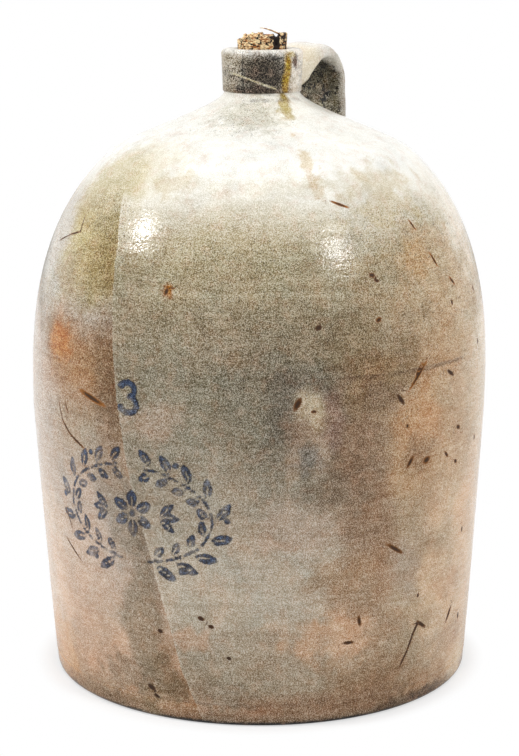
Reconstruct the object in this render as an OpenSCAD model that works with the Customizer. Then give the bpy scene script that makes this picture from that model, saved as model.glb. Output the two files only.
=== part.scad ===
/* [Foot and belly] */
// How much smaller the foot's radius is than the belly's
foot_draw = 10.7; // [5:0.1:20]
// Rounding where the foot meets the wall
heel_round = 3; // [1:0.5:5]
// Height of the tooled line above the foot
foot_line_z = 11.6; // [9:0.1:20]
// Width of the tooled line
foot_line_w = 1.8; // [1:0.1:3]
// Depth of the tooled line
foot_line_deep = 0.7; // [0.3:0.1:1.5]
// Radius of the belly at its widest
belly_r = 131.7; // [127:0.1:140]
// Height of the widest place above the foot
belly_z = 158; // [130:1:180]

/* [Shoulder] */
// Rise from the widest place to the shoulder's turn
turn_rise = 144.8; // [125:0.1:165]
// Radius at the shoulder's turn
turn_r = 86.2; // [78:0.1:94]
// Rise from the shoulder's turn to the top of the neck
neck_rise = 33.2; // [28:0.1:42]
// Radius of the neck right under the collar
neck_r = 21.6; // [20:0.1:22.4]

/* [Wall] */
// Thickness of the wall in the belly and shoulder
wall = 9; // [6:0.1:12]
// Thickness of the wall at the neck
neck_wall = 8.2; // [7:0.1:9]
// Thickness of the floor
floor_t = 12; // [8:0.1:16]
// Inner rounding between floor and wall
floor_round = 14; // [8:0.5:20]

/* [Luted joint of the two thrown sections] */
// Height of the lower thrown section
lower_section_h = 195; // [170:1:215]
// Height of the wedge that keys the two sections together
wedge_h = 5; // [2:0.5:8]
// Flat land on each side of the wedge
wedge_land = 2; // [1:0.1:2.8]

/* [Collar] */
// Height of the collar
collar_h = 24; // [19:0.1:30]
// Outer radius at the foot of the collar
collar_foot_r = 22.4; // [22:0.1:24]
// Outer radius under the lip
collar_r = 23.2; // [22.8:0.1:25]
// Rounding at the collar's lower edge
collar_edge_round = 0.8; // [0.3:0.1:1.5]
// Rounding on the outside of the lip
lip_round = 2.8; // [1:0.1:4]
// Rounding on the inside of the lip
mouth_round = 2; // [0.5:0.1:3]
// Radius of the bore at the rim
mouth_r = 14.8; // [14.4:0.1:16]
// Radius of the bore at the foot of the collar
throat_r = 13.4; // [12.6:0.1:14]
// Height of the neck's inner rim inside the collar
lap_h = 3; // [1:0.5:6]
// Width of the collar's seat outside that inner rim
lap_seat_w = 4.2; // [2:0.1:6]

/* [Handle] */
// Width of the strap
strap_w = 34; // [26:0.5:40]
// Thickness of the strap
strap_t = 6.8; // [6:0.1:10]
// Height of the strap's root on the collar
root_t = 20; // [14:0.5:21]
// Width of the strap's root on the collar
root_w = 36; // [28:0.5:42]
// Drop from the rim to the middle of the root
root_drop = 12; // [11:0.1:13]
// Reach of the crest, where the strap is highest, from the jug's axis
crest_reach = 46.5; // [42:0.5:52]
// Drop from the rim to the strap's middle at the crest
crest_drop = 3.6; // [3.2:0.1:8]
// Reach of the strap's middle where it stands furthest out
outer_reach = 65.6; // [60:0.1:72]
// Drop from the rim to the place where the strap stands furthest out
outer_drop = 27; // [22:0.5:30]
// Reach of the strap's middle where it lands on the shoulder
landing_reach = 64; // [60:0.1:70]
// Width of the strap where it lands on the shoulder
landing_w = 40; // [30:0.5:48]
// Thickness of the strap where it lands on the shoulder
landing_t = 10; // [7:0.1:14]
// Gap left for the slurry that sticks the strap on
lute_gap = 0.05; // [0.02:0.01:0.2]

/* [Slip lining] */
// Thickness of the brown slip inside
slip_t = 0.8; // [0.4:0.1:1.5]
// Drop from the mouth's rounding to the slip's upper edge
slip_drop = 1; // [0.5:0.1:4]

/* [Cork] */
// Length of cork inside the bore
cork_sunk = 27; // [22:0.5:32]
// Height of cork above the rim
cork_proud = 8.5; // [6:0.1:12]
// Gap between cork and slip
cork_gap = 0.15; // [0.1:0.05:0.4]
// Distance from the cork's middle to the cleft in its head
cleft_offset = 8; // [5:0.1:10]
// Width of the cleft
cleft_w = 2; // [0.8:0.1:3]
// Depth of the cleft below the cork's head
cleft_deep = 7; // [3:0.1:8]
// Height lost from the broken side of the cork's head, beside the cleft
chip_drop = 1.4; // [0.6:0.1:5]
// Length of the splinter that stands up from the cork's head
splinter_l = 12; // [8:0.5:16]
// Radius of the splinter at its root
splinter_r = 0.7; // [0.5:0.1:1]
// Depth of the splinter's root in the cork's head
splinter_root = 1; // [0.8:0.1:3]

/* [Hidden] */
$fn = 96;

// Slopes of the outline, in degrees
foot_lean = 13;
turn_slope = 41.4;
neck_lean = 6.3;
root_slope = 22;
landing_slope = 82;
chip_slope = 2;
splinter_slope = 20;
splinter_turn = 20;
// How far the cork is turned in the mouth, in degrees
cork_turn = 32;

// How far each curve runs straight on from its ends, as a share of its rise or reach
foot_pull_share = 0.055;
belly_low_pull_share = 0.02;
belly_high_pull_share = 0.211;
turn_low_pull_share = 0.456;
turn_high_pull_share = 0.225;
neck_pull_share = 0.131;
strap_pull_share = 0.55;
splinter_tip_share = 0.4;

// Counts of steps along each curve
belly_steps = 8;
shoulder_steps = 16;
neck_steps = 12;
round_steps = 6;
strap_steps = 9;
strap_sides = 16;
// How square the strap's section is: 2 is an ellipse
strap_fullness = 3;
// How fast the swellings at the collar and at the shoulder die away along the strap
root_swell_power = 2.2;
landing_swell_power = 3;

foot_r = belly_r - foot_draw;
turn_z = belly_z + turn_rise;
neck_z = turn_z + neck_rise;
rim_z = neck_z + collar_h;
corner_z = floor_t + floor_round;
lap_z = neck_z + lap_h;
lap_r = neck_r - lap_seat_w;
cork_top_z = rim_z + cork_proud;
cork_low_z = rim_z - cork_sunk;

// A point and a direction on a curve with two ends and two pulls
function curve_at(c, t) =
    pow(1 - t, 3) * c[0] + 3 * pow(1 - t, 2) * t * c[1] + 3 * (1 - t) * t * t * c[2] + pow(t, 3) * c[3];
function heading_at(c, t) =
    pow(1 - t, 2) * (c[1] - c[0]) + 2 * (1 - t) * t * (c[2] - c[1]) + t * t * (c[3] - c[2]);
// The direction out of the clay, to the right of the curve's heading
function outward_at(c, t) =
    let (h = heading_at(c, t)) [h[1], -h[0]] / norm(h);
function along(angle) = [cos(angle), sin(angle)];
function arc(centre, r, from, to) =
    [for (i = [0 : round_steps]) centre + r * along(from + (to - from) * i / round_steps)];
function reversed(line) = [for (i = [len(line) - 1 : -1 : 0]) line[i]];
function between(line, low, high) = [for (p = line) if (p[1] > low && p[1] < high) p];
// Radius of a line of [radius, height] points at a height
function radius_at(line, z) = lookup(z, [for (p = line) [p[1], p[0]]]);

// The three curves of the outside, from the foot to the neck, as [radius, height]
turn_point = [turn_r, turn_z];
belly_curve = [
    [foot_r, 0],
    [foot_r, 0] + belly_z * foot_pull_share * along(90 - foot_lean),
    [belly_r, belly_z - belly_z * belly_low_pull_share],
    [belly_r, belly_z]
];
shoulder_curve = [
    [belly_r, belly_z],
    [belly_r, belly_z + turn_rise * belly_high_pull_share],
    turn_point + turn_rise * turn_low_pull_share * along(-turn_slope),
    turn_point
];
neck_curve = [
    turn_point,
    turn_point - (turn_r - neck_r) * turn_high_pull_share * along(-turn_slope),
    [neck_r, neck_z] - (turn_r - neck_r) * neck_pull_share * along(90 + neck_lean),
    [neck_r, neck_z]
];

// The outside moved inward by a wall that goes from one thickness to another
function moved_in(c, steps, t0, t1) = [
    for (i = [0 : steps])
        let (t = i / steps) curve_at(c, t) - (t0 + (t1 - t0) * t) * outward_at(c, t)
];
function wall_line(depth, neck_depth) = concat(
    moved_in(belly_curve, belly_steps, depth, depth),
    moved_in(shoulder_curve, shoulder_steps, depth, depth),
    moved_in(neck_curve, neck_steps, depth, neck_depth)
);

// Outside of the clay from the heel to the neck, with the tooled line cut in
plain_line = wall_line(0, 0);
heel_r = radius_at(plain_line, heel_round) - heel_round;
foot_line_r = radius_at(plain_line, foot_line_z);
outer_line = concat(
    [[0, 0]],
    arc([heel_r, heel_round], heel_round, -90, 0),
    between(plain_line, heel_round, foot_line_z - foot_line_w),
    [
        [radius_at(plain_line, foot_line_z - foot_line_w / 2), foot_line_z - foot_line_w / 2],
        [foot_line_r - foot_line_deep, foot_line_z],
        [radius_at(plain_line, foot_line_z + foot_line_w / 2), foot_line_z + foot_line_w / 2]
    ],
    between(plain_line, foot_line_z + foot_line_w, neck_z)
);

// Inside of the clay, or of what lies on it at a depth, from the floor's middle to the rim
clay_inner_line = wall_line(wall, neck_wall);
corner_r = radius_at(clay_inner_line, corner_z) - floor_round;
function bore_r(z) = throat_r + (mouth_r - throat_r) * (z - neck_z) / collar_h;
function inner_line(depth) = concat(
    [[0, floor_t + depth]],
    arc([corner_r, corner_z], floor_round - depth, -90, 0),
    between(wall_line(wall + depth, neck_wall + depth), corner_z + floor_round / 4, neck_z - neck_wall),
    [[throat_r - depth, neck_z - neck_wall / 2], [throat_r - depth, neck_z], [mouth_r - depth, rim_z]]
);
inside = inner_line(0);
slip_inside = inner_line(slip_t);

// The wedge joint across the wall at the seam
seam_z = lower_section_h;
seam_outer_r = radius_at(plain_line, seam_z);
seam_inner_r = radius_at(inside, seam_z);
seam_line = [
    [seam_outer_r, seam_z],
    [seam_outer_r - wedge_land, seam_z],
    [(seam_outer_r + seam_inner_r) / 2, seam_z - wedge_h],
    [seam_inner_r + wedge_land, seam_z],
    [seam_inner_r, seam_z]
];

// The collar's outside, from its seat to the rim
collar_line = concat(
    arc([collar_foot_r - collar_edge_round, neck_z + collar_edge_round], collar_edge_round, -90, 0),
    arc([collar_r - lip_round, rim_z - lip_round], lip_round, 0, 90),
    arc([mouth_r + mouth_round, rim_z - mouth_round], mouth_round, 90, 180)
);

// Base and wall as thrown up to the seam, with a groove for the wedge
module lower_body() {
    color("#b9aa95")
    rotate_extrude()
    polygon(concat(between(outer_line, -heel_round, seam_z), seam_line, reversed(between(inside, 0, seam_z))));
}

// Upper section, drawn in to the neck and set down on the lower one
module shoulder_dome() {
    color("#c9c5ba")
    rotate_extrude()
    polygon(concat(
        between(outer_line, seam_z, neck_z),
        [[neck_r, neck_z], [lap_r, neck_z], [lap_r, lap_z], [bore_r(lap_z), lap_z]],
        reversed(between(inside, seam_z, lap_z)),
        reversed(seam_line)
    ));
}

// Tooled collar, seated over the neck's inner rim
module neck_collar() {
    color("#6f6b66")
    rotate_extrude()
    polygon(concat(
        [[lap_r, neck_z]],
        collar_line,
        [[bore_r(lap_z), lap_z], [lap_r, lap_z]]
    ));
}

// Brown slip poured in and swilled out, over the whole inside
module slip_lining() {
    slip_top_z = rim_z - mouth_round - slip_drop;
    color("#4a2d1c")
    rotate_extrude()
    polygon(concat(
        between(inside, 0, slip_top_z),
        [[bore_r(slip_top_z), slip_top_z], [bore_r(slip_top_z) - slip_t, slip_top_z]],
        reversed(between(slip_inside, 0, slip_top_z))
    ));
}

// How far the strap's ends run on into the round of the collar and into the shoulder
root_bury = (collar_foot_r - sqrt(pow(collar_foot_r, 2) - pow(root_w / 2, 2))) / cos(root_slope)
    + root_t / 2 * tan(root_slope);
landing_bury = strap_t;
// The middle of the strap from collar to shoulder, as [reach, height]
root_point = [collar_foot_r, rim_z - root_drop];
crest_point = [crest_reach, rim_z - crest_drop];
outer_point = [outer_reach, rim_z - outer_drop];
landing_z = radius_at([for (p = reversed(plain_line)) [p[1], p[0]]], landing_reach);
landing_point = [landing_reach, landing_z] + landing_bury * along(-landing_slope);
strap_curves = [
    [
        root_point,
        root_point + (crest_point[0] - root_point[0]) * strap_pull_share * along(root_slope),
        crest_point - [(crest_point[0] - root_point[0]) * strap_pull_share / 2, 0],
        crest_point
    ],
    [
        crest_point,
        crest_point + [(outer_point[0] - crest_point[0]) * strap_pull_share, 0],
        outer_point + [0, (crest_point[1] - outer_point[1]) * strap_pull_share],
        outer_point
    ],
    [
        outer_point,
        outer_point - [0, (outer_point[1] - landing_point[1]) * strap_pull_share / 2],
        landing_point - (outer_point[1] - landing_point[1]) * strap_pull_share / 2 * along(-landing_slope),
        landing_point
    ]
];
// Width and thickness along the strap, swelling towards the collar and the shoulder
function swell(k, t, at_root, plain, at_landing) =
    k < 2 ? plain + (at_root - plain) * pow(1 - (k + t) / 2, root_swell_power)
    : plain + (at_landing - plain) * pow(t, landing_swell_power);
// One point of the strap's section, full at the edges
function section(angle) = [for (v = along(angle)) sign(v) * pow(abs(v), 2 / strap_fullness)];
function ring(middle, up, w, thick) = [
    for (j = [0 : strap_sides - 1])
        let (s = section(360 * (j + 0.5) / strap_sides), p = middle + s[1] * thick / 2 * up)
        [s[0] * w / 2, p[0], p[1]]
];
strap_rings = concat(
    [ring(root_point - root_bury * along(root_slope), along(root_slope + 90), root_w, root_t)],
    [
        for (k = [0 : 2], i = [0 : strap_steps - (k < 2 ? 1 : 0)])
            let (t = i / strap_steps)
            ring(
                curve_at(strap_curves[k], t),
                -outward_at(strap_curves[k], t),
                swell(k, t, root_w, strap_w, landing_w),
                swell(k, t, root_t, strap_t, landing_t)
            )
    ]
);

// The outside of the jug that the strap is pressed onto
module outer_form(gap) {
    rotate_extrude()
    polygon(concat(
        [[0, 0]],
        between(wall_line(-gap, -gap), foot_line_z, neck_z),
        [[collar_foot_r + gap, neck_z]],
        [[collar_r + gap, rim_z - lip_round]],
        arc([collar_r - lip_round, rim_z - lip_round], lip_round + gap, 0, 90),
        [[0, rim_z + gap]]
    ));
}

// Pulled strap handle, cut to the collar and the shoulder it sits on
module handle_strap() {
    rings = len(strap_rings);
    last = (rings - 1) * strap_sides;
    color("#a9a49a")
    difference() {
        polyhedron(
            points = [for (points = strap_rings, p = points) p],
            faces = concat(
                [[for (j = [0 : strap_sides - 1]) j]],
                [
                    for (i = [0 : rings - 2], j = [0 : strap_sides - 1])
                        let (a = i * strap_sides + j, b = i * strap_sides + (j + 1) % strap_sides)
                        each [[a, a + strap_sides, b], [b, a + strap_sides, b + strap_sides]]
                ],
                [[for (j = [strap_sides - 1 : -1 : 0]) last + j]]
            )
        );
        outer_form(lute_gap);
    }
}

// Tapered cork with a broken head, a cleft and a standing splinter
module cork_stopper() {
    cork_top_r = bore_r(cork_top_z) - slip_t - cork_gap;
    cork_low_r = bore_r(cork_low_z) - slip_t - cork_gap;
    color("#9c7448")
    rotate([0, 0, cork_turn]) {
        difference() {
            translate([0, 0, cork_low_z])
            cylinder(r1 = cork_low_r, r2 = cork_top_r, h = cork_top_z - cork_low_z);
            translate([cleft_offset, 0, cork_top_z - chip_drop])
            rotate([0, -chip_slope, 0])
            translate([-cork_top_r * 4, -cork_top_r * 2, 0])
            cube([cork_top_r * 4, cork_top_r * 4, cork_proud]);
            translate([cleft_offset - cleft_w / 2, -cork_top_r * 2, cork_top_z - cleft_deep])
            cube([cleft_w, cork_top_r * 4, cork_proud]);
        }
        translate([cleft_offset + cleft_w / 2 + splinter_r * 2, 0, cork_top_z - splinter_root])
        rotate([0, splinter_slope - 90, splinter_turn])
        cylinder(r1 = splinter_r, r2 = splinter_r * splinter_tip_share, h = splinter_l);
    }
}

lower_body();
shoulder_dome();
neck_collar();
handle_strap();
slip_lining();
cork_stopper();
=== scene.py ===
import functools
import itertools
import math

import bpy
import numpy as np
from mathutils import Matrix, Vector


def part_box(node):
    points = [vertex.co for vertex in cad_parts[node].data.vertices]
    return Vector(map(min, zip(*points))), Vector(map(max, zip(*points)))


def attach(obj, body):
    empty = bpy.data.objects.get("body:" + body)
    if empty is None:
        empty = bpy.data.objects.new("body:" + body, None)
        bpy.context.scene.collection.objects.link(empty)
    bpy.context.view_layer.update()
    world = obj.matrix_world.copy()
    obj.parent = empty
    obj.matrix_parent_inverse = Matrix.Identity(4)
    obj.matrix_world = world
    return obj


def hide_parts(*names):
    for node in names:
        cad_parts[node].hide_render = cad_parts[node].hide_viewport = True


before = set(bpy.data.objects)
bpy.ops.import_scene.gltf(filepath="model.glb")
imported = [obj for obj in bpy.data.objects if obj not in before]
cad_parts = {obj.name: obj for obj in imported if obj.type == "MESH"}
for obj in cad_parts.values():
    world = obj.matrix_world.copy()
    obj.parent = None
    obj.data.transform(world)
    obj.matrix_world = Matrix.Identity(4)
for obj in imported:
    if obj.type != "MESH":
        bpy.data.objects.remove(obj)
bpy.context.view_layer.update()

mm = 0.001  # the frame is in metres, and the values below are in millimetres


# Colour, node and noise helpers

def toLinear(hexColour):
    values = [int(hexColour[i:i + 2], 16) / 255 for i in (1, 3, 5)]
    return [v / 12.92 if v <= 0.04045 else ((v + 0.055) / 1.055) ** 2.4 for v in values]


def paint(hexColour):
    return (*toLinear(hexColour), 1.0)


def addNode(tree, kind, inputs=(), **settings):  # inputs are listed in order, or keyed by name or place
    made = tree.nodes.new(kind)
    for key, value in settings.items():
        setattr(made, key, value)
    for key, value in inputs.items() if isinstance(inputs, dict) else enumerate(inputs):
        if isinstance(value, bpy.types.Node):
            value = value.outputs[0]
        if isinstance(value, bpy.types.NodeSocket):
            tree.links.new(value, made.inputs[key])
        else:
            made.inputs[key].default_value = value
    return made


def newMaterial(name):
    material = bpy.data.materials.new(name)
    material.use_nodes = True
    material.node_tree.nodes.clear()
    return material, functools.partial(addNode, material.node_tree)


def grainScale(size, flatness):  # for a pattern with grains of a size in mm, flatter than they are wide
    return [1 / (size * mm)] * 2 + [1 / (size * flatness * mm)]


def smooth(low, high, value):
    t = np.clip((value - low) / (high - low), 0, 1)
    return t * t * (3 - 2 * t)


def latticeValue(cell, seed, primes=(374761393, 668265263, 1274126177, 987643)):
    n = (cell * np.array(primes[:3])).sum(axis=1) + seed * primes[3]
    n = (n ^ (n >> 13)) * primes[2]
    return ((n ^ (n >> 16)) & 0xffff) / 0x7fff - 1


tilt = np.array([[0.36, 0.48, -0.8], [-0.8, 0.6, 0], [0.48, 0.64, 0.6]])  # turns the noise off the jug's axes


def cloud(places, size, seed, octaves=3):  # soft noise from about -1 to 1, with lumps of a size in mm
    total = np.zeros(len(places))
    p = places / size / 2
    for octave in range(octaves):
        p = p @ tilt * 2
        cell = np.floor(p).astype(np.int64)
        f = smooth(0, 1, p - cell)
        for corner in itertools.product((0, 1), repeat=3):
            share = np.prod(np.where(corner, f, 1 - f), axis=1)
            total += share * latticeValue(cell + np.array(corner), seed + octave) / 2 ** octave
    return total


# The camera stands where the photograph was taken from

cameraPlace = {
    "azimuth": 32.0,     # degrees from the numeral's side, towards +X
    "distance": 1162.0,  # from the jug's axis
    "height": 422.6,
    "pitch": 12.33,      # degrees below level
    "focal": 96.48,      # for a frame 36 mm tall
    "frame": 36.0,
}


def intoScene(thing):
    bpy.context.scene.collection.objects.link(thing)


def aroundJug(azimuth, distance, height):
    a = math.radians(azimuth)
    return Vector((math.sin(a) * distance, -math.cos(a) * distance, height)) * mm


def makeCamera(place):
    data = bpy.data.cameras.new("jugCamera")
    data.sensor_fit = "VERTICAL"
    data.sensor_height = place["frame"]
    data.lens = place["focal"]
    camera = bpy.data.objects.new("jugCamera", data)
    camera.location = aroundJug(place["azimuth"], place["distance"], place["height"])
    camera.rotation_euler = (math.radians(90 - place["pitch"]), 0, math.radians(place["azimuth"]))
    intoScene(camera)
    bpy.context.scene.camera = camera


makeCamera(cameraPlace)
print("camera placed")


# The jug's outline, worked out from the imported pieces

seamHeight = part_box("lower_body")[1].z / mm
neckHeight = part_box("neck_collar")[0].z / mm
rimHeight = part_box("neck_collar")[1].z / mm
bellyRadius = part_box("lower_body")[1].x / mm
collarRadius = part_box("neck_collar")[1].x / mm
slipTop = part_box("slip_lining")[1].z / mm

curvePoints = 400  # on each of the outline's three curves

outline = {
    "footDraw": 10.7,
    "footLean": 13.0,
    "bellyHeight": 158.0,
    "turnRise": 144.8,
    "turnRadius": 86.2,
    "turnSlope": 41.4,
    "neckRadius": 21.6,
    "neckLean": 6.3,
    "footPull": 0.055,
    "bellyLowPull": 0.02,
    "bellyHighPull": 0.211,
    "turnLowPull": 0.456,
    "turnHighPull": 0.225,
    "neckPull": 0.131,
    "heelRound": 3.0,
    "wall": 9.0,
    "neckWall": 8.2,
    "floor": 12.0,
    "floorRound": 14.0,
    "wedgeHeight": 5.0,
    "wedgeLand": 2.0,
    "throatRadius": 13.4,
    "mouthRadius": 14.8,
    "mouthRound": 2.0,
    "lipRound": 2.8,
    "collarFootRadius": 22.4,
    "collarEdgeRound": 0.8,
    "lapRadius": 17.4,
    "lapHeight": 3.0,
    "slip": 0.8,
    "footHollow": (0.4, 0.8, 0.95),  # depth, and the shares of the foot's radius between which it ends
    "footLine": (11.6, 0.4, 0.8),    # height, depth and half width of the tooled line
    "seamLine": (195.0, 0.1, 0.9),
    "rowStep": 1.5,          # between the rows of a wall outside, and inside
    "innerStep": 7,
    "seamGap": 1,            # how far the inner rows stop from the seam
}


def along(degrees):
    a = math.radians(degrees)
    return np.array([math.cos(a), math.sin(a)])


def bezier(points, t):
    t = np.asarray(t, float)[:, None]
    a, b, c, d = [np.array(p, float) for p in points]
    return (1 - t) ** 3 * a + 3 * (1 - t) ** 2 * t * b + 3 * (1 - t) * t * t * c + t ** 3 * d


def arc(centre, radius, start, end, steps=7):
    return [np.array(centre) + radius * along(a) for a in np.linspace(start, end, steps)]


def thrownLine(o):
    foot = np.array([bellyRadius - o["footDraw"], 0.0])
    belly = np.array([bellyRadius, o["bellyHeight"]])
    turn = np.array([o["turnRadius"], o["bellyHeight"] + o["turnRise"]])
    neck = np.array([o["neckRadius"], neckHeight])
    up = np.array([0.0, 1.0])
    reach = turn[0] - neck[0]
    curves = [
        (foot, foot + belly[1] * o["footPull"] * along(90 - o["footLean"]),
         belly - belly[1] * o["bellyLowPull"] * up, belly),
        (belly, belly + o["turnRise"] * o["bellyHighPull"] * up,
         turn + o["turnRise"] * o["turnLowPull"] * along(-o["turnSlope"]), turn),
        (turn, turn - reach * o["turnHighPull"] * along(-o["turnSlope"]),
         neck - reach * o["neckPull"] * along(90 + o["neckLean"]), neck),
    ]
    t = np.linspace(0, 1, curvePoints)
    return np.vstack([bezier(c, t)[:-1] for c in curves] + [neck[None]])


outerLine = thrownLine(outline)
outerNormal = np.gradient(outerLine, axis=0)[:, ::-1] * [1, -1]
outerNormal /= np.linalg.norm(outerNormal, axis=1)[:, None]
outerRun = np.concatenate([[0], np.cumsum(np.linalg.norm(np.diff(outerLine, axis=0), axis=1))])
neckShare = smooth(outline["bellyHeight"] + outline["turnRise"], neckHeight, outerLine[:, 1])
innerLine = outerLine - outerNormal * (outline["wall"] + (outline["neckWall"] - outline["wall"]) * neckShare)[:, None]


def radiusAt(height):
    return np.interp(height, outerLine[:, 1], outerLine[:, 0])


def outwardAt(height):
    return np.column_stack([np.interp(height, outerLine[:, 1], outerNormal[:, k]) for k in (0, 1)])


# Heights of the rows of a wall, closer together near tooled lines
def rowHeights(low, high, step, fineAt=(), fineReach=3.0, fineStep=0.5):
    run, top = np.interp([low, high], outerLine[:, 1], outerRun)
    heights = []
    while run < top - step / 3:
        heights.append(np.interp(run, outerRun, outerLine[:, 1]))
        run += fineStep if any(abs(heights[-1] - f) < fineReach for f in fineAt) else step
    return np.array(heights + [high])


def outerRows(heights):
    points = np.column_stack([radiusAt(heights), heights])
    for line in ("footLine", "seamLine"):
        height, depth, half = outline[line]
        cut = depth * np.exp(-((heights - height) / half) ** 2)
        lifted = depth / 3 * np.exp(-((abs(heights - height) - 2 * half) / half) ** 2)
        points -= outwardAt(heights) * (cut - lifted)[:, None]
    return points


def innerRows(heights, depth=0.0):
    radii = np.interp(heights, innerLine[:, 1], innerLine[:, 0])
    return np.column_stack([radii - depth * outwardAt(heights)[:, 0], heights - depth * outwardAt(heights)[:, 1]])


def boreRadius(height):
    o = outline
    share = (height - neckHeight) / (rimHeight - neckHeight)
    return o["throatRadius"] + (o["mouthRadius"] - o["throatRadius"]) * max(share, 0)


# The inside of the clay, or of the slip on it, from the floor's middle up
insideHeights = rowHeights(outline["floor"] + outline["floorRound"] + 2, neckHeight - outline["neckWall"] - 1,
                           outline["innerStep"])


def insideLine(depth):
    o = outline
    corner = o["floor"] + o["floorRound"]
    cornerRadius = np.interp(corner, innerLine[:, 1], innerLine[:, 0]) - o["floorRound"]
    floorRadii = np.linspace(0, cornerRadius, 8)[:-1]
    return ([np.array([r, o["floor"] + depth]) for r in floorRadii]
            + arc((cornerRadius, corner), o["floorRound"] - depth, -90, 0)
            + list(innerRows(insideHeights, depth))
            + [np.array([o["throatRadius"] - depth, neckHeight - o["neckWall"] / 2]),
               np.array([o["throatRadius"] - depth, neckHeight])])


def reachedAbove(line, height):
    return [p for p in line if p[1] > height + outline["seamGap"]]


def reachedBelow(line, height):
    return [p for p in line if p[1] < height - outline["seamGap"]]


def wallAtSeam(outer):  # the wedge that keys the two halves, from the outside in, and the last point inside
    o = outline
    inner = np.array([np.interp(seamHeight, innerLine[:, 1], innerLine[:, 0]), seamHeight])
    land = np.array([o["wedgeLand"], 0])
    return [outer - land, (outer + inner) / 2 - [0, o["wedgeHeight"]], inner + land, inner]


print("outline drawn,", round(outerRun[-1]), "mm from foot to neck")


# A thrown piece is a profile turned about the jug's axis, with the rings and waver that fingers leave

weldWithin = 0.01  # mm
sharpTurn = 50     # an edge that bends by more degrees than this stays crisp

wheelMarks = {
    "columns": 480,
    "frontCrowding": 0.45,   # 0 spaces the columns evenly, and more crowds them towards the front
    "ringDepth": 0.30,
    "ringSpacing": 5.2,
    "ringWaver": 0.25,
    "outOfRound": 0.5,
    "lobes": 0.9,            # more of them make the wall change faster on its way round
    "seed": 3.0,
}


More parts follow.
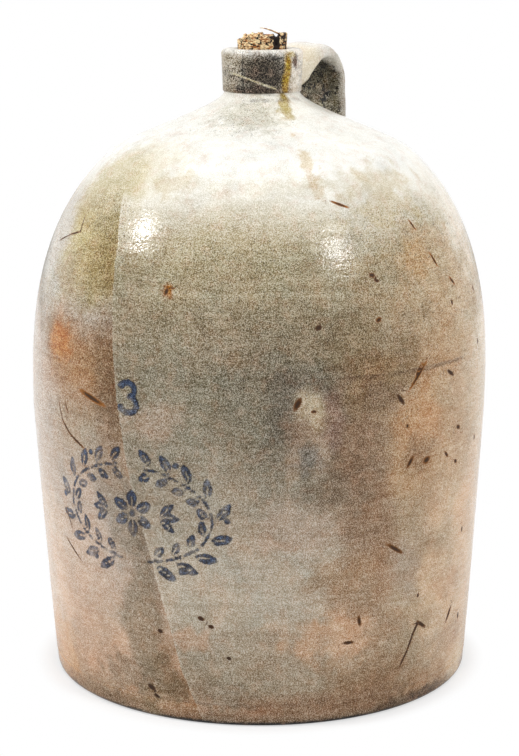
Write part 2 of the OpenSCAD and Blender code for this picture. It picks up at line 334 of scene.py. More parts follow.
def makeWheelTree():
    tree = bpy.data.node_groups.new("turnOnWheel", "GeometryNodeTree")
    for name, kind in (("Profile", "Object"), ("Columns", "Int"), ("Rows", "Int"), ("Front Crowding", "Float"),
                       ("Ring Depth", "Float"), ("Ring Spacing", "Float"), ("Ring Waver", "Float"),
                       ("Out Of Round", "Float"), ("Lobes", "Float"), ("Seed", "Float"), ("Glaze", "Material")):
        tree.interface.new_socket(name, in_out="INPUT", socket_type="NodeSocket" + kind)
    tree.interface.new_socket("Geometry", in_out="OUTPUT", socket_type="NodeSocketGeometry")
    add = functools.partial(addNode, tree)
    given = add("NodeGroupInput").outputs
    profile = add("GeometryNodeObjectInfo", {"Object": given["Profile"]}).outputs["Geometry"]
    columns = add("ShaderNodeMath", [given["Columns"], 1.0], operation="ADD")
    grid = add("GeometryNodeMeshGrid", {"Size X": 1.0, "Size Y": 1.0, "Vertices X": columns,
                                        "Vertices Y": given["Rows"]})
    place = add("GeometryNodeInputPosition")
    split = add("ShaderNodeSeparateXYZ", {"Vector": place})
    lastRow = add("ShaderNodeMath", [given["Rows"], 1.0], operation="SUBTRACT")
    rowShare = add("ShaderNodeMath", [split.outputs["Y"], 0.5], operation="ADD")
    row = add("ShaderNodeMath", [rowShare, lastRow], operation="MULTIPLY")
    row = add("ShaderNodeMath", [row], operation="ROUND")
    point = add("GeometryNodeSampleIndex", {"Geometry": profile, "Value": place, "Index": row},
                data_type="FLOAT_VECTOR")
    away, share = [
        add("GeometryNodeSampleIndex", {"Geometry": profile, "Index": row, "Value": add(
            "GeometryNodeInputNamedAttribute", {"Name": name}, data_type=kind)}, data_type=kind)
        for name, kind in (("outward", "FLOAT_VECTOR"), ("ringShare", "FLOAT"))]

    # The turn of each column, crowded towards the front
    full = add("ShaderNodeMath", [split.outputs["X"], 2 * math.pi], operation="MULTIPLY")
    swing = add("ShaderNodeMath", [full], operation="SINE")
    swing = add("ShaderNodeMath", [swing, given["Front Crowding"]], operation="MULTIPLY")
    turn = add("ShaderNodeMath", [full, swing], operation="SUBTRACT")
    sine = add("ShaderNodeMath", [turn], operation="SINE")
    cosine = add("ShaderNodeMath", [turn], operation="COSINE")

    # Rings lie level and change slowly on their way round, and the whole wall is a little out of round
    height = add("ShaderNodeSeparateXYZ", {"Vector": point}).outputs["Z"]
    level = add("ShaderNodeMath", [height, given["Ring Spacing"]], operation="DIVIDE")
    roundabout = add("ShaderNodeCombineXYZ", {"X": sine, "Y": cosine})
    waver = add("ShaderNodeVectorMath", {0: roundabout, "Scale": given["Ring Waver"]}, operation="SCALE")
    lift = add("ShaderNodeCombineXYZ", {"Z": level})
    ringPlace = add("ShaderNodeVectorMath", [waver, lift], operation="ADD")
    rings = add("ShaderNodeTexNoise", {"Vector": ringPlace, "W": given["Seed"], "Scale": 1.0, "Detail": 2.0},
                noise_dimensions="4D")
    slow = add("ShaderNodeTexNoise", {"Vector": roundabout, "W": given["Seed"], "Scale": given["Lobes"],
                                      "Detail": 1.0}, noise_dimensions="4D")
    depths = []
    for noise, depth in ((rings, given["Ring Depth"]), (slow, given["Out Of Round"])):
        centred = add("ShaderNodeMath", [noise.outputs["Fac"], 0.5], operation="SUBTRACT")
        depths.append(add("ShaderNodeMath", [centred, depth], operation="MULTIPLY"))
    depth = add("ShaderNodeMath", depths, operation="ADD")
    depth = add("ShaderNodeMath", [depth, share], operation="MULTIPLY")
    pushed = add("ShaderNodeVectorMath", {0: away, "Scale": depth}, operation="SCALE")
    final = add("ShaderNodeVectorMath", [point, pushed], operation="ADD")
    final = add("ShaderNodeSeparateXYZ", {"Vector": final})
    right = add("ShaderNodeMath", [final.outputs["X"], sine], operation="MULTIPLY")
    front = add("ShaderNodeMath", [final.outputs["X"], cosine], operation="MULTIPLY")
    back = add("ShaderNodeMath", [front, -1.0], operation="MULTIPLY")
    spun = add("ShaderNodeCombineXYZ", {"X": right, "Y": back, "Z": final.outputs["Z"]})
    wall = add("GeometryNodeSetPosition", {"Geometry": grid.outputs["Mesh"], "Position": spun})
    closed = add("GeometryNodeMergeByDistance", {"Geometry": wall, "Distance": weldWithin * mm})
    real = add("GeometryNodeRealizeInstances", {"Geometry": closed})
    glazed = add("GeometryNodeSetMaterial", {"Geometry": real, "Material": given["Glaze"]})
    add("NodeGroupOutput", {"Geometry": glazed})
    return tree


wheelTree = makeWheelTree()


def meshPoints(mesh):
    co = np.empty(len(mesh.vertices) * 3)
    mesh.vertices.foreach_get("co", co)
    return co.reshape(-1, 3) / mm


def storePoints(mesh, points):
    mesh.vertices.foreach_set("co", (points * mm).ravel())
    mesh.update()


def storeValues(mesh, name, values, kind="FLOAT"):
    field = {"FLOAT": "value", "FLOAT_VECTOR": "vector", "FLOAT_COLOR": "color"}[kind]
    mesh.attributes.new(name, kind, "POINT").data.foreach_set(field, np.ascontiguousarray(values, float).ravel())


def faceOutwards(mesh):
    corners = meshPoints(mesh)
    mesh.calc_loop_triangles()
    tris = np.empty(len(mesh.loop_triangles) * 3, int)
    mesh.loop_triangles.foreach_get("vertices", tris)
    a, b, c = [corners[tris.reshape(-1, 3)[:, k]] for k in range(3)]
    if np.einsum("ij,ij->", a, np.cross(b, c)) < 0:
        mesh.flip_normals()


def skin(rows, first=0):  # faces over rows of points, closed at both ends
    count, sides = rows.shape[:2]
    quads = [(i * sides + j, i * sides + (j + 1) % sides, (i + 1) * sides + (j + 1) % sides, (i + 1) * sides + j)
             for i in range(count - 1) for j in range(sides)]
    ends = [tuple(range(sides)), tuple(range((count - 1) * sides, count * sides))[::-1]]
    return [tuple(v + first for v in face) for face in quads + ends]


def addPiece(name, mesh, material=None):
    if material:
        mesh.materials.clear()
        mesh.materials.append(material)
    mesh.shade_smooth()
    mesh.set_sharp_from_angle(angle=math.radians(sharpTurn))
    faceOutwards(mesh)
    piece = bpy.data.objects.new(name, mesh)
    intoScene(piece)
    return piece


def throwPiece(name, rows, material, marks, closed=True):
    points = np.array([p for p, share in rows])
    shares = np.array([share for p, share in rows], float)
    if closed:
        points, shares = np.vstack([points, points[:1]]), np.append(shares, shares[0])
    away = outwardAt(points[:, 1])
    upright = np.column_stack([points[:, 0], np.zeros(len(points)), points[:, 1]])
    profileMesh = bpy.data.meshes.new(name + "Profile")
    profileMesh.from_pydata([tuple(p * mm) for p in upright], [], [])
    storeValues(profileMesh, "outward", np.column_stack([away[:, 0], 0 * shares, away[:, 1]]), "FLOAT_VECTOR")
    storeValues(profileMesh, "ringShare", shares)
    profile = bpy.data.objects.new(name + "Profile", profileMesh)
    wheel = bpy.data.objects.new(name + "Wheel", bpy.data.meshes.new(name + "Wheel"))
    for made in (profile, wheel):
        intoScene(made)
    modifier = wheel.modifiers.new("turn", "NODES")
    modifier.node_group = wheelTree
    settings = {
        "Profile": profile, "Columns": marks["columns"], "Rows": len(points),
        "Front Crowding": marks["frontCrowding"], "Ring Depth": marks["ringDepth"] * mm,
        "Ring Spacing": marks["ringSpacing"] * mm, "Ring Waver": marks["ringWaver"],
        "Out Of Round": marks["outOfRound"] * mm, "Lobes": marks["lobes"], "Seed": marks["seed"],
        "Glaze": material,
    }
    for item in wheelTree.interface.items_tree:
        if item.in_out == "INPUT":
            modifier[item.identifier] = settings[item.name]
    wheel.update_tag()
    seen = bpy.context.evaluated_depsgraph_get()
    mesh = bpy.data.meshes.new_from_object(wheel.evaluated_get(seen))
    wheel.modifiers.clear()
    for made in (profile, wheel):
        bpy.data.objects.remove(made)
    mesh.name = name
    storePoints(mesh, leaned(meshPoints(mesh)))
    return mesh


# The neck was set a little to one side of the foot, as hand-thrown pots are

leanPlaces = {
    "towards": 122.0,  # degrees round from the numeral's side
    "heights": (0, 80, 158, 250, 320, 380),
    "shifts": (0.7, 0.2, -0.3, 0.5, 1.45, 1.5),
}


def leaned(points):
    a = math.radians(leanPlaces["towards"])
    shift = np.interp(points[:, 2], leanPlaces["heights"], leanPlaces["shifts"])
    moved = points.copy()
    moved[:, 0] += math.sin(a) * shift
    moved[:, 1] -= math.cos(a) * shift
    return moved


def roundTheJug(points):  # azimuth in degrees, radius and height of points in mm
    return (np.degrees(np.arctan2(points[:, 0], -points[:, 1])), np.hypot(points[:, 0], points[:, 1]), points[:, 2])


# The glaze's colours are painted on each piece as bands by height, with soft washes over them.
# A wash is (degrees round from the numeral, height, half width in degrees, half height, strength, raggedness, value).

glazeBands = {
    # The lowest band is a painted contact shadow, near black, along the underside of the heel
    "paintedHeelShadow": (2.2, "#080503"),
    "footEdge": (2.8, "#857059"),
    "burntFoot": (9, "#a88769"),
    "lowWall": (23, "#a19179"),
    "wall": (50, "#b0a28d"),
    "paleBelly": (72, "#bbb19f"),
    "belly": (95, "#b7ac9a"),
    "greyBelly": (121, "#a59884"),
    "smokedBelly": (160, "#988d78"),
    "seam": (197, "#8c826b"),
    "warmGrey": (213, "#9a8c72"),
    "aboveSeam": (226, "#988a6e"),
    "ashBand": (250, "#a59878"),
    "thinAsh": (262, "#b2a688"),
    "paleShoulder": (274, "#c8c0ab"),
    # From here up the near-white is partly the glaze's pale colour and partly a painted highlight of the overhead
    # light
    "whiteShoulder": (287, "#e3e0d6"),
    "whiteCrown": (304, "#ebeae4"),
    "neck": (336, "#e0ddd3"),
}

glazeWashes = {
    "tanSide": (100, 120, 42, 105, 0.85, 0.3, "#af9472"),
    # A near-white wash along the right edge below the shoulder is painted rim light
    "paintedRimLightRight": (107, 246, 17, 46, 0.9, 0.3, "#e9e2d4"),
    "tanRightLow": (104, 42, 24, 36, 0.9, 0.5, "#d3b798"),
    "paleRight": (99, 104, 20, 50, 0.9, 0.5, "#d5b898"),
    "tanRight": (90, 184, 21, 44, 0.95, 0.35, "#bb9e7b"),
    "paleRightTurn": (107, 196, 13, 60, 0.7, 0.7, "#d3bd9e"),
    "tanShoulder": (84, 242, 24, 22, 0.85, 0.5, "#bca582"),
    "tanBesideOval": (71, 160, 8, 34, 0.75, 0.5, "#ba9267"),
    "rightSmoke": (60, 128, 8, 58, 0.75, 0.6, "#8b6d51"),
    "ruddyBesideOval": (53, 158, 5, 28, 0.85, 0.5, "#86684b"),
    "brownUnderOval": (51, 150, 6, 13, 0.5, 0.6, "#7c5f42"),
    "dimUnderOval": (49, 133, 8, 11, 0.8, 0.5, "#827059"),
    "rightSmokeHigh": (58, 201, 11, 24, 0.75, 0.5, "#876b45"),
    "smokedSeam": (66, 196, 10, 7, 0.6, 0.5, "#8c6b44"),
    "smokedUnderSeam": (61, 184, 5, 8, 0.7, 0.5, "#7c6147"),
    "rightSmokeLow": (58, 76, 8, 26, 0.65, 0.5, "#a68665"),
    "greyFlash": (70, 83, 5, 16, 0.7, 0.5, "#ab9883"),
    "greyBesideOval": (34, 178, 10, 42, 0.55, 0.4, "#817761"),
    # The dark ring round the pale oval is painted shade for the rim of a shallow dent there
    "ovalDentShade": (41.5, 178, 9, 23, 0.85, 0.35, "#6f6351"),
    "ovalRuddy": (48.5, 172, 3, 17, 0.8, 0.4, "#8d6f5c"),
    "oval": (43.5, 177, 4.0, 12, 1.0, 0.3, "#bca88a"),
    "ovalHeart": (44.4, 179, 2.2, 7, 0.8, 0.3, "#c6b699"),
    "ovalWarm": (41, 168, 3, 7, 0.8, 0.5, "#967a61"),
    "ovalTail": (46.3, 155, 2.2, 11, 0.8, 0.4, "#b59a80"),
    "ovalTailLeft": (39.5, 150, 2, 10, 0.7, 0.5, "#ab957c"),
    "ovalGreyTail": (43.2, 152, 3.2, 7, 0.8, 0.5, "#7f7466"),
    "pinkBelly": (40, 112, 8, 13, 0.5, 0.6, "#bda48f"),
    "pinkAboveFoot": (50, 50, 11, 13, 0.75, 0.5, "#cda886"),
    "pinkByEdge": (15, 49, 4, 6, 0.6, 0.6, "#c6a081"),
    "brownAboveFoot": (51, 84, 8, 11, 0.6, 0.6, "#a08260"),
    "brownFoot": (62, 22, 14, 15, 0.8, 0.4, "#8f7150"),
    "tanFoot": (84, 10, 12, 9, 0.7, 0.4, "#a4805a"),
    "ruddyFoot": (52, 11, 20, 6, 0.8, 0.5, "#8a6a4c"),
    "greyFootFront": (18, 17, 12, 7, 0.7, 0.5, "#8f806a"),
    "brownHeel": (80, 3.5, 14, 4, 0.95, 0.3, "#5f462f"),
    "paleHeelRight": (100, 12, 8, 10, 0.7, 0.4, "#dcc4a4"),
    "pinkNumeral": (7, 171, 7, 9, 0.6, 0.6, "#b59f8a"),
    "pinkFleck": (26, 206, 3, 4, 0.35, 0.6, "#a5845f"),
    "orangeShoulder": (76, 253, 5, 9, 0.6, 0.5, "#bd9764"),
    "dimShoulder": (65, 247, 5, 9, 0.6, 0.5, "#9a8c6e"),
    "dimBeside": (73, 146, 5, 10, 0.65, 0.5, "#937656"),
    "dimAboveOval": (50, 218, 12, 12, 0.5, 0.5, "#857556"),
    "tanHighShoulder": (73, 284, 13, 13, 0.5, 1.0, "#c2b085"),
    "ashStreak": (49.6, 303, 1.6, 9, 0.5, 1.2, "#c8ae78"),
    "ashStreakLow": (50.4, 293, 2.0, 5, 0.5, 1.2, "#b89a68"),
    "dimFront": (34, 281, 12, 5, 0.5, 0.6, "#c2bba6"),
    "brownFront": (31, 52, 6, 6, 0.5, 0.7, "#9a8870"),
    "brownFrontLow": (36, 37, 10, 6, 0.45, 0.7, "#978267"),
    "dimAshTop": (4, 293, 7, 6, 0.5, 0.6, "#c9bb9b"),
    "dimCrown": (44, 292, 24, 4, 0.45, 0.8, "#cfc8b4"),
    # A darker patch over the right lamp's highlight is painted shade that dims its glow
    "paintedShadeOnRightHighlight": (55, 263, 6, 6, 0.5, 0.7, "#9d9379"),
    "brownRightLow": (66, 48, 6, 8, 0.5, 0.6, "#8f7659"),
    "paleFleckLow": (54, 33, 5, 5, 0.5, 0.6, "#c4a382"),
    "dimRightFoot": (93, 31, 7, 9, 0.5, 0.6, "#b09070"),
    "dimRightWall": (89, 68, 7, 10, 0.5, 0.6, "#b89a7c"),
    "ashHighLeft": (-22, 292, 17, 13, 0.75, 0.2, "#c2b68f"),
    "ashTopLeft": (-16, 304, 18, 8, 0.4, 0.4, "#d3c8a8"),
    "oliveUnderCollar": (22, 326, 27, 7, 0.4, 0.6, "#aaa386"),
    "ochreRun": (67, 333.5, 6, 3.5, 0.95, 0.3, "#9c8423"),
    "ochreRunMiddle": (61, 329.5, 5, 3, 0.8, 0.5, "#a8943c"),
    "ochreRunEnd": (56, 326, 5, 2.6, 0.7, 0.7, "#a8944a"),
    "neckLine": (60, 332.4, 40, 0.5, 0.55, 0.6, "#5a5145"),
    "paleRing": (24, 239.5, 34, 1.6, 0.4, 0.3, "#c0b59a"),
    "ironHalo": (8.9, 240.4, 1.4, 3.2, 1.0, 0.6, "#9a5f12"),
    "darkRing": (72, 195, 21, 1.1, 0.6, 0.6, "#5f4427"),
    "backSmoke": (148, 178, 26, 60, 0.7, 0.6, "#917a5f"),
    "backTan": (-122, 108, 34, 56, 0.7, 0.5, "#bea78d"),
    "leftPale": (-78, 165, 26, 90, 0.6, 0.5, "#b8a798"),
    "backAsh": (-150, 260, 40, 20, 0.5, 0.6, "#a8997b"),
    "backGrey": (180, 90, 22, 50, 0.5, 0.6, "#a59a8a"),
}

# Left of the glaze's edge a second dip lies over the first, browner and deeper
lapBands = {
    # The lowest band is a painted contact shadow, near black, along the underside of the heel
    "paintedHeelShadow": (2.2, "#080503"),
    "footEdge": (2.8, "#8d7258"),
    "burntFoot": (9, "#ae8e6d"),
    "lowWall": (24, "#c3a386"),
    "wall": (50, "#c9ad94"),
    "paleBelly": (84, "#c6b2a0"),
    "belly": (130, "#bcab9b"),
    "tanBelly": (162, "#ae987d"),
    "ruddyBelly": (186, "#a77f53"),
    "brownTurn": (206, "#9a7853"),
    "greyTurn": (221, "#b3a28e"),
    "oliveTurn": (242, "#b5a67e"),
    "ash": (262, "#c2b280"),
    "ashHigh": (272, "#bcac7c"),
    "thinAsh": (280, "#b4a47a"),
    "paleShoulder": (293, "#b9a982"),
    "whiteCrown": (306, "#ded7c8"),
    "neck": (336, "#dcd8cd"),
}

lapWashes = {
    "farLeft": (-43, 150, 15, 60, 0.85, 0.3, "#bcac9c"),
    "paleLeftLow": (-40, 75, 16, 48, 0.9, 0.3, "#d4bda7"),
    "farLeftGrey": (-46, 252, 14, 32, 0.95, 0.3, "#c3bcb1"),
    "greyFarLeft": (-66, 192, 20, 34, 0.75, 0.5, "#b5a593"),
    "greyFarLeftHigh": (-74, 256, 20, 34, 0.9, 0.4, "#b9b0a0"),
    "brownByEdge": (-7, 182, 4, 38, 0.75, 0.4, "#876a4a"),
    "greyByEdge": (-3.5, 118, 3.5, 34, 0.6, 0.4, "#8e836f"),
    "shadeByEdge": (1.5, 62, 5, 40, 0.7, 0.6, "#897c64"),
    "darkFootByEdge": (7, 25, 7, 20, 0.85, 0.6, "#806d4f"),
    "brownBloom": (-3, 24, 9, 9, 0.6, 0.7, "#86735a"),
    "orangeFootLeft": (-38, 22, 14, 18, 0.5, 0.4, "#d0a06a"),
    "palerBeside": (-20, 170, 6, 16, 0.4, 0.6, "#b39e86"),
    "blushHalo": (-25, 203, 8, 18, 0.6, 0.5, "#ad8258"),
    "blush": (-25.4, 205.3, 4.8, 10, 1.0, 0.3, "#bb7c3e"),
    "orangeByAsh": (-27, 242, 4, 9, 0.4, 0.6, "#a58a6a"),
    "ashOlive": (-13, 250, 7, 24, 0.75, 0.4, "#9b874f"),
    "dimAshLeft": (-9, 273, 13, 7, 0.55, 0.6, "#a59a78"),
    "ashShoulder": (-24, 288, 15, 9, 0.7, 0.4, "#b0a379"),
    "greyFoot": (-16, 5, 14, 5, 0.8, 0.5, "#876a4a"),
    "greyByNumeral": (-8, 140, 5, 22, 0.5, 0.5, "#a3937f"),
}

collarBands = {
    "foot": (336, "#8a7a63"),
    "wall": (341, "#aea38d"),
    "upper": (355, "#ada28c"),
    "lip": (358.6, "#dedad1"),
    "rim": (361, "#ebe8e0"),
}

collarWashes = {
    "paleRight": (100, 348, 28, 16, 0.95, 0.25, "#e8e1d5"),
    "paleBack": (170, 348, 50, 16, 0.8, 0.5, "#c6bba8"),
    # The dark patch on the collar's front, with its sharp left and right edges, is a painted dark reflection of the
    # room between the lamps
    "paintedDarkReflection": (36, 346, 32, 11, 0.95, 0.15, "#4b3d28"),
    "paintedDarkReflectionCore": (38, 346, 29, 9.5, 0.9, 0.15, "#241b12"),
    "paintedDarkReflectionFoot": (24, 338, 34, 2.5, 0.8, 0.4, "#22140d"),
    "paintedDarkReflectionTop": (55, 355.4, 14, 1.2, 0.9, 0.3, "#150f0b"),
    "paintedDarkReflectionRightEdge": (65.5, 347, 1.6, 9, 0.9, 0.2, "#150f0b"),
    "paintedDarkReflectionLeftEdge": (7, 347, 1.8, 10, 1.0, 0.25, "#15100b"),
    "ochreRun": (74, 351, 6, 8, 1.0, 0.2, "#b38f18"),
    "ochreRunLow": (70.5, 341, 5.5, 8, 1.0, 0.2, "#a37f08"),
    "purpleSpot": (88, 354, 5, 4.2, 1.0, 0.3, "#644836"),
    "ochreTop": (80, 357.5, 9, 1.8, 0.6, 0.5, "#b8a24e"),
    "backSmoke": (-140, 345, 30, 9, 0.6, 0.6, "#776953"),
    "ochreLip": (-50, 357, 8, 2, 0.4, 0.5, "#bba562"),
}

# Where dark specks and dry ash crowd together, from 0 to 1
speckleBands = {
    "foot": (0, 0.25),
    "wall": (60, 0.18),
    "belly": (140, 0.28),
    "smoked": (200, 0.45),
    "ash": (232, 0.6),
    "thinAsh": (262, 0.6),
    "whiteShoulder": (286, 0.1),
    "crown": (300, 0.03),
    "neck": (336, 0.12),
    "collar": (345, 0.75),
    "lip": (358, 0.2),
}

speckleWashes = {
    "ashPatch": (-16, 256, 9, 26, 0.95, 0.4, 1.0),
    "underCollar": (22, 325, 26, 8, 0.9, 0.6, 0.75),
    "rightShoulder": (80, 262, 26, 18, 0.7, 0.5, 0.7),
    "greyBand": (36, 205, 22, 22, 0.6, 0.5, 0.65),
    "paleCollar": (100, 348, 28, 14, 0.9, 0.3, 0.2),
    "ochreRun": (64, 331, 7, 7, 0.5, 0.4, 0.6),
    "ochreCollar": (72, 347, 6, 11, 0.95, 0.2, 0.2),
}

# Where one dip of glaze stops, as degrees round from the numeral at heights from the foot up
glazeEdge = {
    "heights": (0, 30, 64, 94, 133, 180, 226, 263, 288),
    "turns": (17.5, 12.1, 8.0, 4.6, 0.1, -3.4, -5.9, -8.8, -14.7),
    "waver": 0.4,
    "waverSize": 12,
    "reach": 60,  # mm to either side that the distance from it is kept
    "fadeHeights": (272, 296),
    "fadeTurns": (-78, -100),
}

# Chips, straws burnt into the glaze, cracks and iron spots, each as two ends (degrees round, height),
# a half width and how ruddy it is
strokes = {
    "strawHigh": (54.1, 284.7, 58.1, 281.9, 0.62, 0.9),
    "strawShoulder": (78.4, 272, 79.5, 267.7, 0.62, 0.9),
    "strawTurn": (82.4, 254, 84.1, 247.7, 0.75, 0.9),
    "strawTurnLow": (88.7, 239.5, 90.2, 236.3, 0.88, 0.8),
    "strawSeam": (83.7, 190.3, 85.4, 188, 1., 0.2),
    "strawLong": (74.9, 197.8, 69.9, 185.8, 0.88, 0.7),
    "strawBeside": (73.3, 197.4, 71.7, 192.6, 0.5, 0.7),
    "strawCurl": (66.2, 182.6, 67.6, 178.6, 1.12, 0.2),
    "strawMid": (71.1, 146.6, 69.8, 142.6, 1.23, 0.45),
    "strawBelly": (65.1, 99.3, 69, 93.7, 1.12, 0.4),
    "strawLow": (57.4, 59.9, 57.7, 56.2, 1., 0.4),
    "strawFoot": (53.7, 46.4, 55.7, 46.3, 0.88, 0.3),
    "forkBarb": (79.4, 45.1, 76.8, 48.9, 1., 0.3),
    "forkTop": (76.8, 48.9, 75.1, 43.2, 0.88, 0.3),
    "forkMiddle": (75.1, 43.2, 73.3, 34.1, 0.75, 0.3),
    "forkTail": (73.3, 34.1, 71.1, 25.9, 0.69, 0.3),
    "rightNick": (92.1, 48.1, 90.2, 42.1, 1., 0.4),
    "brownStreak": (-14.8, 181.1, -8.1, 176.3, 1.5, 0.75),
    "hairTop": (-24.9, 170.8, -23.2, 161.3, 0.44, 0.5),
    "hairMiddle": (-23.2, 161.3, -19.7, 154.4, 0.62, 0.5),
    "hairEnd": (-19.7, 154.4, -15.1, 149.6, 0.75, 0.5),
    "hairBeside": (-22, 172.6, -20.7, 167, 0.38, 0.5),
    "hairLow": (-24.7, 109.1, -22.5, 99.7, 0.44, 0.5),
    "hairLowest": (-25.7, 91.4, -19.8, 82.4, 0.5, 0.5),
    "leftCrack": (-38.4, 256.2, -33.2, 260.1, 0.38, 0.3),
    "leftCrackMiddle": (-31.8, 261.2, -27.4, 263.4, 0.44, 0.4),
    "leftCrackEnd": (-26.8, 264.6, -28.2, 272.3, 0.38, 0.4),
    "ironSpot": (8.7, 239.2, 8.9, 240.6, 1.12, 0.5),
    "ironSplash": (7.9, 242.8, 9.0, 241.9, 0.38, 0.7),
    "ironSplashRight": (9.8, 241.9, 10.8, 241.9, 0.38, 0.7),
    "ovalSpot": (40.3, 181.2, 41.1, 184.6, 1.46, 0.3),
    "ovalFleck": (44.2, 178.6, 44.8, 178.6, 0.75, 0.4),
    "smokeSpot": (61.2, 224.0, 61.7, 224.6, 1.12, 0.5),
    "darkSpot": (45.7, 222.3, 46.1, 222.7, 1.23, 0.15),
    "shoulderSpot": (60.8, 247.5, 61.3, 247.3, 1.12, 0.35),
    "shoulderFleck": (62.0, 244.6, 62.4, 244.3, 0.88, 0.35),
    "beadRight": (88.4, 156.9, 89.2, 156.4, 1.12, 0.4),
    "bigSpot": (75.6, 143.2, 76.4, 143.8, 1.79, 0.5),
    "tailSpot": (83.4, 144.4, 84.4, 142.2, 0.88, 0.5),
    "edgeSpot": (88.3, 137.4, 88.9, 136.8, 1., 0.5),
    "farSpot": (100.3, 145.4, 100.3, 144.4, 1., 0.4),
    "farLowSpot": (98.3, 40.2, 98.3, 39.0, 1.12, 0.4),
    "forkSpot": (76.0, 65.6, 76.0, 64.8, 0.88, 0.4),
    "farHighSpot": (87.5, 227.3, 87.5, 226.4, 0.88, 0.4),
    "farTurnSpot": (102.3, 230, 102.3, 229, 0.88, 0.4),
    "farSeamSpot": (101.3, 200.6, 101.3, 199.4, 1., 0.4),
    "dot": (69.1, 165.5, 69.1, 164.9, 0.75, 0.4),
    "dotLow": (95.8, 93.7, 95.8, 92.7, 1., 0.4),
    "footSpot": (2.6, 18.2, 3.4, 17.2, 1.34, 0.1),
    "footSpotLow": (4.2, 13.4, 4.8, 12.6, 1., 0.1),
    "wallSpot": (6.2, 52.2, 6.6, 52.0, 1.12, 0.2),
    "wallSpotRight": (17.2, 62.6, 17.7, 62.1, 1.12, 0.2),
    "wallFleck": (19.8, 58.2, 20.2, 57.9, 1., 0.2),
    "wallDot": (24.2, 40.3, 24.5, 40.1, 0.88, 0.1),
    "backStraw": (150, 190, 153, 181, 1., 0.4),
    "backStrawLow": (-160, 120, -157, 113, 1., 0.4),
    "backSpot": (-110, 210, -109.4, 210.6, 1.46, 0.5),
    "backSpotLow": (165, 75, 165.5, 75.5, 1.23, 0.3),
    "sideStraw": (-70, 150, -67, 143, 0.88, 0.5),
    "sideSpot": (-62, 236, -61.4, 236.4, 1.12, 0.4),
}

chipReach = 3.5  # how far beyond a stroke its place is still stored, in mm
noChip = (9.0, 9.0, 0.5)

# How the painted colours wander, fray and cloud, with sizes in mm
flow = {
    "waver": 5.0,
    "waverSize": 38,
    "waverFrom": (3, 30),      # heights below which a band lies level, and above which it wavers in full
    "washFade": (1.5, 0.5),    # where a wash starts and where it is full, in its half sizes
    "tearReach": 1.8,
    "leastTear": 4,
    "cloudSizes": (30, 9),
    "clouding": 0.06,
    "flushSize": 15,
    "flush": 0.045,            # how much warmer or cooler, and what that does to red, green and blue
    "flushTint": (1, -0.2, -1),
    "flushFrom": (285, 235),
}


def bandValues(points, bands, waver=0.0):
    wandering = smooth(*flow["waverFrom"], points[:, 2]) * cloud(points, flow["waverSize"], 41) if waver else 0
    heights = points[:, 2] + waver * wandering
    places = sorted(bands.values())
    values = np.array([toLinear(v) if isinstance(v, str) else [v] for height, v in places])
    return np.column_stack([np.interp(heights, [p[0] for p in places], values[:, k]) for k in range(values.shape[1])])


def washed(points, bands, washes, waver=0.0):
    values = bandValues(points, bands, waver)
    around, radius, up = roundTheJug(points)
    for seed, (turn, height, halfWide, halfHigh, strength, ragged, value) in enumerate(washes.values()):
        aside = (around - turn + 180) % 360 - 180
        far = np.hypot(aside / halfWide, (up - height) / halfHigh)
        near = far < flow["washFade"][0] + ragged * flow["tearReach"]
        if near.any():
            torn = far[near] + ragged * cloud(points[near], max(halfHigh / 2, flow["leastTear"]), seed)
            weight = strength * smooth(*flow["washFade"], torn)[:, None]
            target = np.array(toLinear(value) if isinstance(value, str) else [value])
            values[near] += (target - values[near]) * weight
    return values


def chipPlaces(points):  # along and across the nearest stroke, in its half sizes, and its ruddiness
    around, radius, up = roundTheJug(points)
    found = np.tile(noChip, (len(points), 1))
    least = np.full(len(points), chipReach)
    for turnA, heightA, turnB, heightB, halfWide, ruddy in strokes.values():
        size = radiusAt((heightA + heightB) / 2)
        a = np.array([math.radians(turnA) * size, heightA])
        b = np.array([math.radians(turnB) * size, heightB])
        halfLong = np.linalg.norm(b - a) / 2 + halfWide
        heading = (b - a) / np.linalg.norm(b - a)
        aside = (around - (turnA + turnB) / 2 + 180) % 360 - 180
        away = np.column_stack([np.radians(aside) * size, up - (heightA + heightB) / 2])
        alongIt, across = away @ heading, away @ [-heading[1], heading[0]]
        gap = np.hypot(np.maximum(abs(alongIt) - halfLong, 0), np.maximum(abs(across) - halfWide, 0))
        near = gap < least
        least[near] = gap[near]
        found[near] = np.column_stack([alongIt / halfLong, across / halfWide, np.full(len(up), ruddy)])[near]
    return found


# Cobalt is brushed through a stencil: a plain numeral over a wreath with a flower in it

